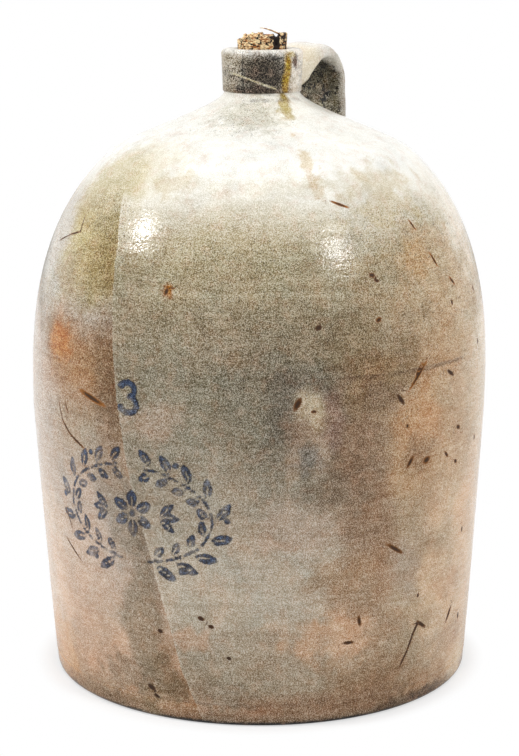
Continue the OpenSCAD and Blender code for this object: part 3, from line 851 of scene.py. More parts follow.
stencil = {
    "middle": 135,          # height, and how far the stencil reaches across and up from there
    "reach": (66, 65),
    "fray": 0.3,
    "fraySize": 5,
    "depthLimit": 9.0,      # mm in or out that the distance from its edges is kept
    "numeralHeight": 182.6,
    "numeralStroke": 1.8,
    "numeralStretch": 1.28,
    "numeralTip": 1.2,      # the round ends of its strokes, in half strokes
    "bowls": ((-0.5, 4.1, 3.7), (-0.2, -3.9, 4.4)),  # across, up and radius
    "bowlTurns": ((150, -75), (75, -150)),
    "wreathHeight": 118.0,
    "wreathWide": 47.0,
    "wreathHigh": 27.0,
    "wreathGap": 9.0,       # degrees left open at the foot and at the head
    "twigSpan": (0.12, 0.88, 5),  # where a twig starts and ends between two leaves, and its points
    "sweepSteps": 60,
    "leafCount": 9,
    "leafLength": 14.5,
    "leafWidth": 6.2,
    "leafOffset": 2.4,
    "innerLeaf": 0.62,
    "leafTaper": 0.25,      # how much smaller the last leaf of a side is
    "stemHalf": 0.85,
    "leafSpread": 40.0,     # degrees that a leaf opens from its stem
    "veinGap": 0.45,
    "berry": 1.9,
    "berryOffset": 8,
    "heartShare": 1.1,      # of a berry's radius
    "petals": 6,
    "petalRoot": 3.2,
    "petalLength": 10.5,
    "petalWidth": 6.6,
    "sprigRoot": 17,
    "sprigSpread": 44.0,
    "sprigLength": 12.0,
    "sprigWidth": 4.8,
}


def strokeDepth(flat, path, half):
    depth = np.full(len(flat), -np.inf)
    for a, b in zip(path[:-1], path[1:]):
        span = b - a
        t = np.clip((flat - a) @ span / (span @ span), 0, 1)
        depth = np.maximum(depth, half - np.linalg.norm(flat - a - t[:, None] * span, axis=1))
    return depth


def leafDepth(flat, root, heading, length, width, vein, veinEnd=0.2):
    middle = np.array(root) + length / 2 * along(heading)
    away = flat - middle
    alongIt, across = away @ along(heading), away @ along(heading + 90)
    bow = (length ** 2 / width - width) / 4
    blade = bow + width / 2 - np.hypot(alongIt, abs(across) + bow)
    return np.minimum(blade, np.where(alongIt < length * veinEnd, abs(across) - vein, np.inf))


def stencilDepth(points, s):
    around, radius, up = roundTheJug(points)
    flat = np.column_stack([np.radians(around) * radius, up])
    flat += np.column_stack([cloud(points, s["fraySize"], seed) for seed in (61, 62)]) * s["fray"]
    depth = np.full(len(points), -s["depthLimit"])
    near = (abs(flat[:, 0]) < s["reach"][0]) & (abs(up - s["middle"]) < s["reach"][1])
    here = flat[near]
    shapes = []
    for (x, y, size), (start, end) in zip(s["bowls"], s["bowlTurns"]):
        bowl = [p * [s["numeralStretch"], 1] for p in arc((x, s["numeralHeight"] + y), size, start, end, 15)]
        shapes.append(strokeDepth(here, bowl, s["numeralStroke"]))
        tip = bowl[0] if start > 90 else bowl[-1]
        shapes.append(s["numeralStroke"] * s["numeralTip"] - np.linalg.norm(here - tip, axis=1))
    centre = np.array([0, s["wreathHeight"]])
    sweep = np.radians(np.linspace(s["wreathGap"], 180 - s["wreathGap"], s["sweepSteps"]))
    steps = np.hypot(s["wreathWide"] * np.cos(sweep), s["wreathHigh"] * np.sin(sweep))
    run = np.concatenate([[0], np.cumsum(steps[1:])])
    for side in (-1, 1):
        for k in range(s["leafCount"]):
            turns = np.radians(np.interp((np.linspace(*s["twigSpan"]) + k) / s["leafCount"] * run[-1], run,
                                         np.degrees(sweep)) * side - 90)
            twig = centre + np.column_stack([np.cos(turns) * s["wreathWide"], np.sin(turns) * s["wreathHigh"]])
            shapes.append(strokeDepth(here, twig, s["stemHalf"]))
            share = (k + 0.5) / s["leafCount"]
            turn = math.degrees(np.interp(share * run[-1], run, sweep)) * side - 90
            stem = centre + along(turn) * [s["wreathWide"], s["wreathHigh"]]
            heading = math.degrees(math.atan2(math.cos(math.radians(turn)) * s["wreathHigh"] * side,
                                              -math.sin(math.radians(turn)) * s["wreathWide"] * side))
            for opened, size in ((-side, 1 - s["leafTaper"] * share), (side, s["innerLeaf"])):
                shapes.append(leafDepth(here, stem + opened * along(heading + 90) * s["leafOffset"],
                                        heading + opened * s["leafSpread"], s["leafLength"] * size,
                                        s["leafWidth"] * size ** 0.5, s["veinGap"]))
            if k % 3 == 1:
                shapes.append(s["berry"] - np.linalg.norm(here - stem - s["berryOffset"] * along(turn), axis=1))
    for k in range(s["petals"]):
        heading = 90 + 360 * k / s["petals"]
        shapes.append(leafDepth(here, centre + s["petalRoot"] * along(heading), heading, s["petalLength"],
                                s["petalWidth"], s["veinGap"]))
    shapes.append(s["berry"] * s["heartShare"] - np.linalg.norm(here - centre, axis=1))
    for side in (0, 180):
        for lift in (-s["sprigSpread"], 0, s["sprigSpread"]):
            shapes.append(leafDepth(here, centre + s["sprigRoot"] * along(side), side + lift, s["sprigLength"],
                                    s["sprigWidth"], s["veinGap"]))
    depth[near] = np.max(shapes, axis=0)
    return np.clip(depth, -s["depthLimit"], s["depthLimit"])


def edgeDistance(points):  # mm to the right of the glaze's edge
    around, radius, up = roundTheJug(points)
    line = np.interp(up, glazeEdge["heights"], glazeEdge["turns"])
    wavering = glazeEdge["waver"] * cloud(points, glazeEdge["waverSize"], 31)
    return np.clip(np.radians(around - line) * radius + wavering, -glazeEdge["reach"], glazeEdge["reach"])


def glazePiece(mesh, tint, speckle, cracks=0.0, marked=False):
    points = meshPoints(mesh)
    around, radius, up = roundTheJug(points)
    lap = washed(points, lapBands, lapWashes, flow["waver"])
    lapped = smooth(*glazeEdge["fadeHeights"][::-1], up) * smooth(*glazeEdge["fadeTurns"][::-1], around)
    for name, colour, seed in (("glazeTint", tint, 51), ("lapTint", lap, 53)):
        broad, fine = [flow["clouding"] * cloud(points, size, seed + k) for k, size in enumerate(flow["cloudSizes"])]
        clouded = colour * (1 + broad + fine)[:, None]
        flushed = flow["flush"] * smooth(*flow["flushFrom"], up) * cloud(points, flow["flushSize"], seed + 4)
        clouded = clouded * (1 + flushed[:, None] * flow["flushTint"])
        storeValues(mesh, name, np.column_stack([clouded, 0 * up + 1]), "FLOAT_COLOR")
    storeValues(mesh, "lapShare", lapped * marked)
    storeValues(mesh, "glazeEdge", edgeDistance(points))
    storeValues(mesh, "speckle", speckle)
    storeValues(mesh, "chipPlace", chipPlaces(points) if marked else np.tile(noChip, (len(up), 1)), "FLOAT_VECTOR")
    storeValues(mesh, "stencilDepth", stencilDepth(points, stencil) if marked else 0 * up - stencil["depthLimit"])
    storeValues(mesh, "crackShare", 0 * up + cracks)


def glazeWall(mesh):
    points = meshPoints(mesh)
    glazePiece(mesh, washed(points, glazeBands, glazeWashes, flow["waver"]),
               washed(points, speckleBands, speckleWashes), marked=True)


# Salt-glazed stoneware, fired bare in salt vapour: a thin glass skin, pebbled like orange peel, glossy
# in small patches, over stone grey that flame turns tan, with iron specks in it

glazeLook = {  # pairs are where a ramp starts and where it ends
    "patterns": {  # size in mm, how much flatter it lies than round, and how far it lightens or darkens
        "grain": (0.52, 1.0, 1.85),
        "mottle": (2.2, 1.0, 0.2),
        "drift": (9.0, 1.0, 0.2),
        "ripple": (3.6, 0.45, 0.2),
        "streaks": (26.0, 0.09, 0.24),
    },
    "smokedExtra": 1.3,       # how much more the patterns show where specks crowd
    "depth": 1.13,            # the power that the tint is raised to where the patterns cancel out
    "palest": 0.55,           # the least power that a light grain raises the tint to
    "blushSize": 6.0,
    "blushRamp": (0.5, 0.75),
    "blush": "#c99c7a",
    "blushShare": 0.11,
    "speckSize": 1.35,        # iron specks are nearer 0.5 mm, too fine to show, so they are drawn coarser
    "speckRamp": (0.42, 0.16),
    "speckChance": (0.0, 0.35),
    "speck": "#2a1c0a",
    "speckShare": 0.62,
    "edgeFray": 1.2,
    "edgeSoft": 0.35,
    "edgePale": 0.2,
    "beadAt": 0.7,            # mm outside the glaze's edge
    "beadRamp": (1.5, 0.2),
    "edgeShade": 0.24,
    "shadeRamp": (-16.0, -1.0),  # mm inside that edge
    "cobaltRim": "#07142f",
    "cobalt": "#2b4266",
    "cobaltFray": 1.6,
    "cobaltEdge": (0.45, 1.15),
    "cobaltMiddle": (1.2, 2.3),
    "cobaltWear": (0.72, 0.45, 0.45, 0.95),  # a ramp of the drift, and the cover at its two ends
    "chip": "#2a1500",
    "ruddyChip": "#9a5d10",
    "chipFray": 1.1,
    "chipRamp": (2.0, 1.5),
    "burntRamp": (1.05, 1.9, 0.05, 2.0),
    "chipDepth": -0.25,
    "chipRough": 0.4,
    "crack": "#0d0906",
    "crackSize": 4.6,         # real crackle is finer and thinner than would show, so it is drawn coarser
    "crackBend": 1.2,
    "crackDrift": -0.6,
    "crackRamp": (-0.25, -0.29),
    "crackDepth": -0.2,
    "peelSize": 1.5,          # the peel's dimples are 0.5 to 1 mm across, drawn a little coarser to show
    "peelDepth": 0.06,
    "rippleDepth": 0.12,
    "edgeStep": 0.12,
    "roughness": 0.19,
    "roughSpread": 0.08,
    "roughRamp": (0.3, 0.7),
    "specular": 0.3,
}


def makeGlaze(name, look):
    material, add = newMaterial(name)
    place = add("ShaderNodeTexCoord").outputs["Object"]
    stored = {key: add("ShaderNodeAttribute", attribute_name=key).outputs[socket] for key, socket in (
        ("glazeTint", "Color"), ("lapTint", "Color"), ("lapShare", "Fac"), ("glazeEdge", "Fac"), ("speckle", "Fac"),
        ("chipPlace", "Vector"), ("stencilDepth", "Fac"), ("crackShare", "Fac"))}
    patterns = {}
    for key, (size, flatness, share) in look["patterns"].items():
        scaled = add("ShaderNodeMapping", {"Vector": place, "Scale": grainScale(size, flatness)})
        noise = add("ShaderNodeTexNoise", {"Vector": scaled, "Scale": 1.0, "Detail": 2.0, "Roughness": 0.6})
        patterns[key] = noise.outputs["Fac"]

    # The second dip of glaze lies over the first up to its edge, with a pale bead along it
    ragged = add("ShaderNodeMath", [patterns["mottle"], look["edgeFray"], stored["glazeEdge"]],
                 operation="MULTIPLY_ADD")
    edge = add("ShaderNodeMath", [ragged, look["edgeFray"] / 2], operation="SUBTRACT")
    lapped = add("ShaderNodeMapRange", [edge, look["edgeSoft"], -look["edgeSoft"]], interpolation_type="SMOOTHSTEP")
    lapped = add("ShaderNodeMath", [lapped, stored["lapShare"]], operation="MULTIPLY")
    tint = add("ShaderNodeMix", {"Factor": lapped, "A": stored["glazeTint"], "B": stored["lapTint"]},
               data_type="RGBA")
    blotch = add("ShaderNodeTexNoise", {"Vector": place, "Scale": 1 / (look["blushSize"] * mm), "Detail": 3.0})
    blotch = add("ShaderNodeMapRange", [blotch.outputs["Fac"], *look["blushRamp"], 0.0, look["blushShare"] * 2])
    tint = add("ShaderNodeMix", {"Factor": blotch, "A": tint.outputs["Result"], "B": paint(look["blush"])},
               data_type="RGBA").outputs["Result"]

    # The glaze's fine patterns deepen its colour where they darken it
    extra = add("ShaderNodeMath", [stored["speckle"], look["smokedExtra"], 1.0], operation="MULTIPLY_ADD")
    swing = 0.0
    for key, (size, flatness, share) in look["patterns"].items():
        centred = add("ShaderNodeMath", [patterns[key], 0.5], operation="SUBTRACT")
        swing = add("ShaderNodeMath", [centred, share * 2, swing], operation="MULTIPLY_ADD")
    swing = add("ShaderNodeMath", [swing, extra], operation="MULTIPLY")
    bead = add("ShaderNodeMath", [edge, look["beadAt"]], operation="SUBTRACT")
    bead = add("ShaderNodeMath", [bead], operation="ABSOLUTE")
    bead = add("ShaderNodeMapRange", [bead, *look["beadRamp"], 0.0, look["edgePale"]],
               interpolation_type="SMOOTHSTEP")
    pool = add("ShaderNodeMapRange", [edge, *look["shadeRamp"], 0.0, -look["edgeShade"]],
               interpolation_type="SMOOTHSTEP")
    pool = add("ShaderNodeMath", [pool, lapped, bead], operation="MULTIPLY_ADD")
    swing = add("ShaderNodeMath", [pool, stored["lapShare"], swing], operation="MULTIPLY_ADD")
    deepened = add("ShaderNodeMath", [look["depth"], swing], operation="SUBTRACT")
    deepened = add("ShaderNodeMath", [deepened, look["palest"]], operation="MAXIMUM")
    colour = add("ShaderNodeGamma", {"Color": tint, "Gamma": deepened})

    # Iron specks, more of them where the speckle is dense
    scattered = add("ShaderNodeTexVoronoi", {"Vector": place, "Scale": 1 / (look["speckSize"] * mm)})
    chance = add("ShaderNodeSeparateColor", {"Color": scattered.outputs["Color"]})
    chance = add("ShaderNodeMath", [stored["speckle"], chance], operation="SUBTRACT")
    chance = add("ShaderNodeMapRange", [chance, *look["speckChance"]])
    dot = add("ShaderNodeMapRange", [scattered.outputs["Distance"], *look["speckRamp"], 0.0, look["speckShare"]])
    specks = add("ShaderNodeMath", [dot, chance], operation="MULTIPLY")
    colour = add("ShaderNodeMix", {"Factor": specks, "A": colour, "B": paint(look["speck"])},
                 data_type="RGBA").outputs["Result"]

    # Cobalt, dark where it pooled at the stencil's edges and worn thin inside them
    worn = add("ShaderNodeMath", [patterns["mottle"], look["cobaltFray"], stored["stencilDepth"]],
               operation="MULTIPLY_ADD")
    inside = add("ShaderNodeMapRange", [worn, *look["cobaltEdge"]], interpolation_type="SMOOTHSTEP")
    middle = add("ShaderNodeMapRange", [worn, *look["cobaltMiddle"]])
    blue = add("ShaderNodeMix", {"Factor": middle, "A": paint(look["cobaltRim"]), "B": paint(look["cobalt"])},
               data_type="RGBA")
    cover = add("ShaderNodeMapRange", [patterns["drift"], *look["cobaltWear"]])
    cover = add("ShaderNodeMath", [cover, inside], operation="MULTIPLY")
    blue = add("ShaderNodeGamma", {"Color": blue.outputs["Result"], "Gamma": deepened})
    colour = add("ShaderNodeMix", {"Factor": cover, "A": colour, "B": blue}, data_type="RGBA").outputs["Result"]

    # Chips and burnt straws, from their stored places
    chip = add("ShaderNodeSeparateXYZ", {"Vector": stored["chipPlace"]})
    flatPlace = add("ShaderNodeCombineXYZ", {"X": chip.outputs["X"], "Y": chip.outputs["Y"]})
    chipFar = add("ShaderNodeVectorMath", [flatPlace], operation="LENGTH")
    chipFar = add("ShaderNodeMath", [patterns["grain"], look["chipFray"], chipFar.outputs["Value"]],
                  operation="MULTIPLY_ADD")
    chipped = add("ShaderNodeMapRange", [chipFar, *look["chipRamp"]], interpolation_type="SMOOTHSTEP")
    burnt = add("ShaderNodeMapRange", [chipFar, *look["burntRamp"]])
    burnt = add("ShaderNodeMath", [burnt, chip.outputs["Z"]], operation="MULTIPLY", use_clamp=True)
    scar = add("ShaderNodeMix", {"Factor": burnt, "A": paint(look["chip"]), "B": paint(look["ruddyChip"])},
               data_type="RGBA")
    colour = add("ShaderNodeMix", {"Factor": chipped, "A": colour, "B": scar.outputs["Result"]},
                 data_type="RGBA").outputs["Result"]

    # Cracks in the thick, shrunken glaze
    bend = add("ShaderNodeVectorMath", {0: scattered.outputs["Color"], "Scale": look["crackBend"] * mm},
               operation="SCALE")
    bent = add("ShaderNodeVectorMath", [place, bend], operation="ADD")
    cells = add("ShaderNodeTexVoronoi", {"Vector": bent, "Scale": 1 / (look["crackSize"] * mm)},
                feature="DISTANCE_TO_EDGE")
    cracked = add("ShaderNodeMath", [patterns["drift"], look["crackDrift"], cells.outputs["Distance"]],
                  operation="MULTIPLY_ADD")
    cracked = add("ShaderNodeMapRange", [cracked, *look["crackRamp"]])
    cracked = add("ShaderNodeMath", [cracked, stored["crackShare"]], operation="MULTIPLY")
    colour = add("ShaderNodeMix", {"Factor": cracked, "A": colour, "B": paint(look["crack"])},
                 data_type="RGBA").outputs["Result"]

    # Orange peel, the step at the glaze's edge, and the chips' hollows
    peel = add("ShaderNodeTexNoise", {"Vector": place, "Scale": 1 / (look["peelSize"] * mm), "Detail": 1.0})
    height = add("ShaderNodeMath", [peel.outputs["Fac"], look["peelDepth"] * 2], operation="MULTIPLY")
    for factor, depth in ((patterns["ripple"], look["rippleDepth"]), (lapped, look["edgeStep"]),
                          (chipped, look["chipDepth"]), (cracked, look["crackDepth"])):
        height = add("ShaderNodeMath", [factor, depth, height], operation="MULTIPLY_ADD")
    bump = add("ShaderNodeBump", {"Height": height, "Strength": 1.0, "Distance": mm})
    smoothest, roughest = [look["roughness"] + sign * look["roughSpread"] / 2 for sign in (-1, 1)]
    rough = add("ShaderNodeMapRange", [patterns["drift"], *look["roughRamp"], smoothest, roughest])
    rough = add("ShaderNodeMath", [chipped, look["chipRough"], rough], operation="MULTIPLY_ADD")
    shader = add("ShaderNodeBsdfPrincipled", {"Base Color": colour, "Roughness": rough, "Normal": bump,
                                              "Specular IOR Level": look["specular"]})
    add("ShaderNodeOutputMaterial", {"Surface": shader})
    return material


# The jug's own glaze is glossy, and the collar's is drier, with a coarser, darker mottle; the dark patch on its front
# is a painted reflection, laid on by its washes
stoneware = makeGlaze("saltGlazedStoneware", glazeLook)
collarGlaze = makeGlaze("collarSaltGlaze", {
    **glazeLook, "smokedExtra": 5.5, "palest": 0.5, "crackSize": 5.0, "roughness": 0.34,
    "patterns": {**glazeLook["patterns"], "grain": (0.62, 1.0, 1.85)}})


# Brown clay slip, poured over the inside before firing: dark, wet-looking and slightly streaky

slipLook = {
    "dark": "#2c1a10",
    "light": "#5b3823",
    "size": 7.0,
    "flatness": 0.3,
    "streakRamp": (0.35, 0.65),
    "depth": 0.3,
    "bump": 0.6,
    "roughness": 0.25,
}


def makeSlip(name, look):
    material, add = newMaterial(name)
    place = add("ShaderNodeTexCoord").outputs["Object"]
    scaled = add("ShaderNodeMapping", {"Vector": place, "Scale": grainScale(look["size"], look["flatness"])})
    streaks = add("ShaderNodeTexNoise", {"Vector": scaled, "Scale": 1.0, "Detail": 4.0})
    share = add("ShaderNodeMapRange", [streaks.outputs["Fac"], *look["streakRamp"]])
    colour = add("ShaderNodeMix", {"Factor": share, "A": paint(look["dark"]), "B": paint(look["light"])},
                 data_type="RGBA")
    bump = add("ShaderNodeBump", {"Height": streaks.outputs["Fac"], "Strength": look["bump"],
                                  "Distance": look["depth"] * mm})
    shader = add("ShaderNodeBsdfPrincipled", {"Base Color": colour.outputs["Result"], "IOR": 1.5,
                                              "Roughness": look["roughness"], "Normal": bump})
    add("ShaderNodeOutputMaterial", {"Surface": shader})
    return material


slipGlaze = makeSlip("brownSlipGlaze", slipLook)


# Bark cork, cut and long dried out: tan grain with pale fibres, rotted voids and a matt, crumbling skin

corkLook = {
    "bark": "#a05e22",
    "fibre": "#ffe6b4",
    "void": "#1e0e06",
    "patterns": {"grain": (2.6, 0.4), "pits": (2.8, 0.7), "dust": (0.65, 1.0)},  # size in mm and flatness
    "fibreRamp": (0.42, 0.56),
    "voidRamp": (0.55, 0.59),
    "dustRamp": (0.3, 0.7, 0.7, 1.25),
    "pitDepth": 0.5,
    "bump": 0.8,
    "roughness": 0.85,
}


def makeCork(name, look):
    material, add = newMaterial(name)
    place = add("ShaderNodeTexCoord").outputs["Object"]
    voidShare = add("ShaderNodeAttribute", attribute_name="voidShare").outputs["Fac"]
    noises = {}
    for key, (size, flatness) in look["patterns"].items():
        scaled = add("ShaderNodeMapping", {"Vector": place, "Scale": grainScale(size, flatness)})
        noises[key] = add("ShaderNodeTexNoise", {"Vector": scaled, "Scale": 1.0, "Detail": 3.0,
                                                 "Roughness": 0.65}).outputs["Fac"]
    fibres = add("ShaderNodeMapRange", [noises["grain"], *look["fibreRamp"]])
    colour = add("ShaderNodeMix", {"Factor": fibres, "A": paint(look["bark"]), "B": paint(look["fibre"])},
                 data_type="RGBA")
    rotted = add("ShaderNodeMath", [noises["pits"], voidShare], operation="ADD")
    rotted = add("ShaderNodeMapRange", [rotted, *look["voidRamp"]])
    colour = add("ShaderNodeMix", {"Factor": rotted, "A": colour.outputs["Result"], "B": paint(look["void"])},
                 data_type="RGBA")
    dusty = add("ShaderNodeMapRange", [noises["dust"], *look["dustRamp"]])
    colour = add("ShaderNodeVectorMath", {0: colour.outputs["Result"], "Scale": dusty}, operation="SCALE")
    height = add("ShaderNodeMath", [rotted, -1.0, noises["dust"]], operation="MULTIPLY_ADD")
    bump = add("ShaderNodeBump", {"Height": height, "Strength": look["bump"], "Distance": look["pitDepth"] * mm})
    shader = add("ShaderNodeBsdfPrincipled", {"Base Color": colour, "Normal": bump, "Roughness": look["roughness"],
                                              "IOR": 1.45})
    add("ShaderNodeOutputMaterial", {"Surface": shader})
    return material


barkCork = makeCork("barkCork", corkLook)


# Lower body, thrown up to the seam, with its foot, heel and tooled line

def lowerBodyRows():
    o = outline
    heelRadius = radiusAt(o["heelRound"]) - o["heelRound"]
    hollow, start, end = o["footHollow"]
    foot = [np.array([r, hollow * (1 - smooth(start * heelRadius, end * heelRadius, r))])
            for r in (0.0, *np.linspace(0.2, 1, 9) * heelRadius)]
    heel = arc((heelRadius, o["heelRound"]), o["heelRound"], -80, -10, 5)
    heights = rowHeights(o["heelRound"], seamHeight, o["rowStep"], (o["footLine"][0], o["seamLine"][0]))
    outer = outerRows(heights)
    inner = reachedBelow(insideLine(0), seamHeight)
    keyed = wallAtSeam(outer[-1])
    return ([(p, 0) for p in foot + heel] + [(p, 1) for p in outer]
            + [(p, 0) for p in keyed + inner[::-1]])


lowerMesh = throwPiece("lowerBody", lowerBodyRows(), stoneware, wheelMarks, closed=False)
glazeWall(lowerMesh)
lowerBody = addPiece("lowerBody", lowerMesh)
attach(lowerBody, "jug")
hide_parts("lower_body")
print("lower body thrown,", len(lowerMesh.polygons), "faces")


# Shoulder, set down on the lower body and drawn in to the neck

def shoulderRows():
    o = outline
    outer = outerRows(rowHeights(seamHeight, neckHeight, o["rowStep"], (o["seamLine"][0],)))
    lap = neckHeight + o["lapHeight"]
    rim = [np.array(p) for p in ((o["lapRadius"], neckHeight), (o["lapRadius"], lap), (boreRadius(lap), lap))]
    inner = reachedAbove(insideLine(0), seamHeight)
    keyed = wallAtSeam(outer[0])
    return ([(p, 1) for p in outer] + [(p, 0) for p in rim + inner[::-1]] + [(p, 0) for p in keyed[::-1]])


shoulderMesh = throwPiece("shoulder", shoulderRows(), stoneware, wheelMarks)
glazeWall(shoulderMesh)
shoulder = addPiece("shoulder", shoulderMesh)
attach(shoulder, "jug")
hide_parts("shoulder_dome")
print("shoulder thrown,", len(shoulderMesh.polygons), "faces")


# Collar, tooled over the neck's inner rim

collarMarks = {**wheelMarks, "columns": 400, "frontCrowding": 0.0, "ringDepth": 0.22, "ringSpacing": 3.4,
               "outOfRound": 0.35, "seed": 8.0, "cracks": 0.35, "wallRows": 45, "bandWaver": 1.0,
               "edgeRings": 0.3, "lipRings": 0.8}

collarScratch = {
    "turns": (-20, 3, 29, 56),  # degrees round from the numeral
    "heights": (347.5, 345.7, 342.3, 338.5),
    "halfWide": 0.42,
    "cover": 0.9,
    "colour": "#d8ceae",
}


def scratchShare(points, s):
    around, radius, up = roundTheJug(points)
    line = np.interp(around, s["turns"], s["heights"])
    inside = (around > s["turns"][0]) & (around < s["turns"][-1])
    return smooth(s["halfWide"] * 2, s["halfWide"] * 0.6, abs(up - line)) * inside * s["cover"]


def collarRows():
    o = outline
    lap = neckHeight + o["lapHeight"]
    edge = arc((o["collarFootRadius"] - o["collarEdgeRound"], neckHeight + o["collarEdgeRound"]),
               o["collarEdgeRound"], -90, 0, 6)
    lip = arc((collarRadius - o["lipRound"], rimHeight - o["lipRound"]), o["lipRound"], 0, 90, 9)
    wallHeights = np.linspace(edge[-1][1], lip[0][1], collarMarks["wallRows"])[1:-1]
    wall = [np.array([np.interp(h, [edge[-1][1], lip[0][1]], [edge[-1][0], lip[0][0]]), h]) for h in wallHeights]
    mouth = arc((o["mouthRadius"] + o["mouthRound"], rimHeight - o["mouthRound"]), o["mouthRound"], 90, 180, 7)
    bore = [np.array([boreRadius(h), h]) for h in np.linspace(rimHeight - o["mouthRound"] - 1, lap, 9)]
    seat = [np.array([o["lapRadius"], height]) for height in (lap, neckHeight)]
    return ([(p, collarMarks["edgeRings"]) for p in edge] + [(p, 1) for p in wall]
            + [(p, collarMarks["lipRings"]) for p in lip] + [(p, 0) for p in mouth + bore + seat])


collarMesh = throwPiece("collar", collarRows(), collarGlaze, collarMarks)
collarPlaces = meshPoints(collarMesh)
collarTint = washed(collarPlaces, collarBands, collarWashes, collarMarks["bandWaver"])
scratched = scratchShare(collarPlaces, collarScratch)[:, None]
collarTint += (np.array(toLinear(collarScratch["colour"])) - collarTint) * scratched
collarSpeckle = washed(collarPlaces, speckleBands, speckleWashes) * (1 - scratched)
glazePiece(collarMesh, collarTint, collarSpeckle, collarMarks["cracks"])
collar = addPiece("collar", collarMesh)
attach(collar, "jug")
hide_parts("neck_collar")
print("collar thrown,", len(collarMesh.polygons), "faces")


# Slip lining, poured in and swilled out over the whole inside

slipMarks = {**wheelMarks, "columns": 240, "frontCrowding": 0.0, "throatRings": 0.4, "insideRings": 0.7}


def slipRows():
    o = outline
    clay = insideLine(0)
    slip = insideLine(o["slip"])
    upper = np.linspace(neckHeight, slipTop, 10)[1:]
    wet = [np.array([boreRadius(h), h]) for h in upper]
    dry = [np.array([boreRadius(h) - o["slip"], h]) for h in upper]
    lip = [(dry[-1] + wet[-1]) / 2 + [0, o["slip"] / 4]]
    return ([(p, 0) for p in clay + wet + lip] + [(p, slipMarks["throatRings"]) for p in dry[::-1]]
            + [(p, slipMarks["insideRings"]) for p in slip[::-1]])


slipMesh = throwPiece("slipLining", slipRows(), slipGlaze, slipMarks, closed=False)
slipLining = addPiece("slipLining", slipMesh)
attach(slipLining, "jug")
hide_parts("slip_lining")
print("slip lining poured,", len(slipMesh.polygons), "faces")


# Strap handle, pulled, bent over and pressed onto collar and shoulder

strap = {
    "width": 34.0,
    "thick": 6.8,
    "rootThick": 20.0,
    "rootWidth": 36.0,
    "rootDrop": 12.0,
    "rootSlope": 22.0,
    "rootReach": 9.4,         # how far in the root's sides go, from the jug's axis
    "rootFills": (0.04, 0.3, 0.6, 0.85),
    "rootClear": 18.4,        # how far its middle stays from that axis, inside the collar's wall
    "crestReach": 46.5,
    "crestDrop": 3.6,
    "undercut": 0.45,         # how much thinner the strap is underneath, between root and crest
    "undercutAt": 0.45,
    "undercutPower": 0.7,
    "outerReach": 65.6,
    "outerDrop": 27.0,
    "landingReach": 64.0,
    "landingWidth": 40.0,
    "landingThick": 10.0,
    "landingSlope": 82.0,
    "pull": 0.55,
    "rootSwellPower": 2.2,
    "landingSwellPower": 3.0,
    "fullness": 3.0,
    "sides": 72,
    "steps": (6, 30, 34, 30),  # rings in the buried root, to the crest, to the outermost place and to the shoulder
    "fingerGrooves": 0.35,
    "grooveTurns": 1.1,       # waves of the grooves from the strap's middle to its side
    "waver": 0.45,
    "waverSize": 14,
    "waverFrom": (-0.2, 0.4),  # along the strap, with the collar at 0 and the crest at 1
}


def strapPath(s):
    root = np.array([outline["collarFootRadius"], rimHeight - s["rootDrop"]])
    crest = np.array([s["crestReach"], rimHeight - s["crestDrop"]])
    outer = np.array([s["outerReach"], rimHeight - s["outerDrop"]])
    domeLine = outerLine[curvePoints * 3 // 2:]
    landingHeight = np.interp(-s["landingReach"], -domeLine[:, 0], domeLine[:, 1])
    landing = np.array([s["landingReach"], landingHeight]) + s["thick"] * along(-s["landingSlope"])
    pull = s["pull"]
    return [
        (root, root + (crest[0] - root[0]) * pull * along(s["rootSlope"]),
         crest - [(crest[0] - root[0]) * pull / 2, 0], crest),
        (crest, crest + [(outer[0] - crest[0]) * pull, 0],
         outer + [0, (crest[1] - outer[1]) * pull], outer),
        (outer, outer - [0, (outer[1] - landing[1]) * pull / 2],
         landing - (outer[1] - landing[1]) * pull / 2 * along(-s["landingSlope"]), landing),
    ]


def strapRings(s):
    rings = []
    for k, curve in enumerate(strapPath(s)):
        t = np.linspace(0, 1, s["steps"][k + 1] + 1)
        if k < 2:
            t = t[:-1]
        middles = bezier(curve, t)
        ahead = bezier(curve, np.clip(t + 0.001, 0, 1)) - bezier(curve, np.clip(t - 0.001, 0, 1))
        rings += [(m, h / np.linalg.norm(h), k + u) for m, h, u in zip(middles, ahead, t)]
    return rings


# The root's end is bent round the bore, inside the collar's wall, and closed with ever smaller rings
def buriedRoot(s, first):
    def pressed(across):
        return np.sqrt(np.maximum(s["rootClear"] ** 2 - across ** 2, s["rootReach"] ** 2))

    end = first.copy()
    end[:, 1] = np.minimum(first[:, 1], pressed(first[:, 0]))
    end[:, 2] -= (first[:, 1] - end[:, 1]) * math.tan(math.radians(s["rootSlope"]))
    middle = end.mean(axis=0)
    rings = [middle + (end - middle) * fill for fill in s["rootFills"]]
    for ring in rings:
        ring[:, 1] = pressed(ring[:, 0])
    backs = np.linspace(1, 0, s["steps"][0] + 1)[:-1]
    rings += [first + (end - first) * back for back in backs]
    return rings, [-1] * len(s["rootFills"]) + list(-backs)


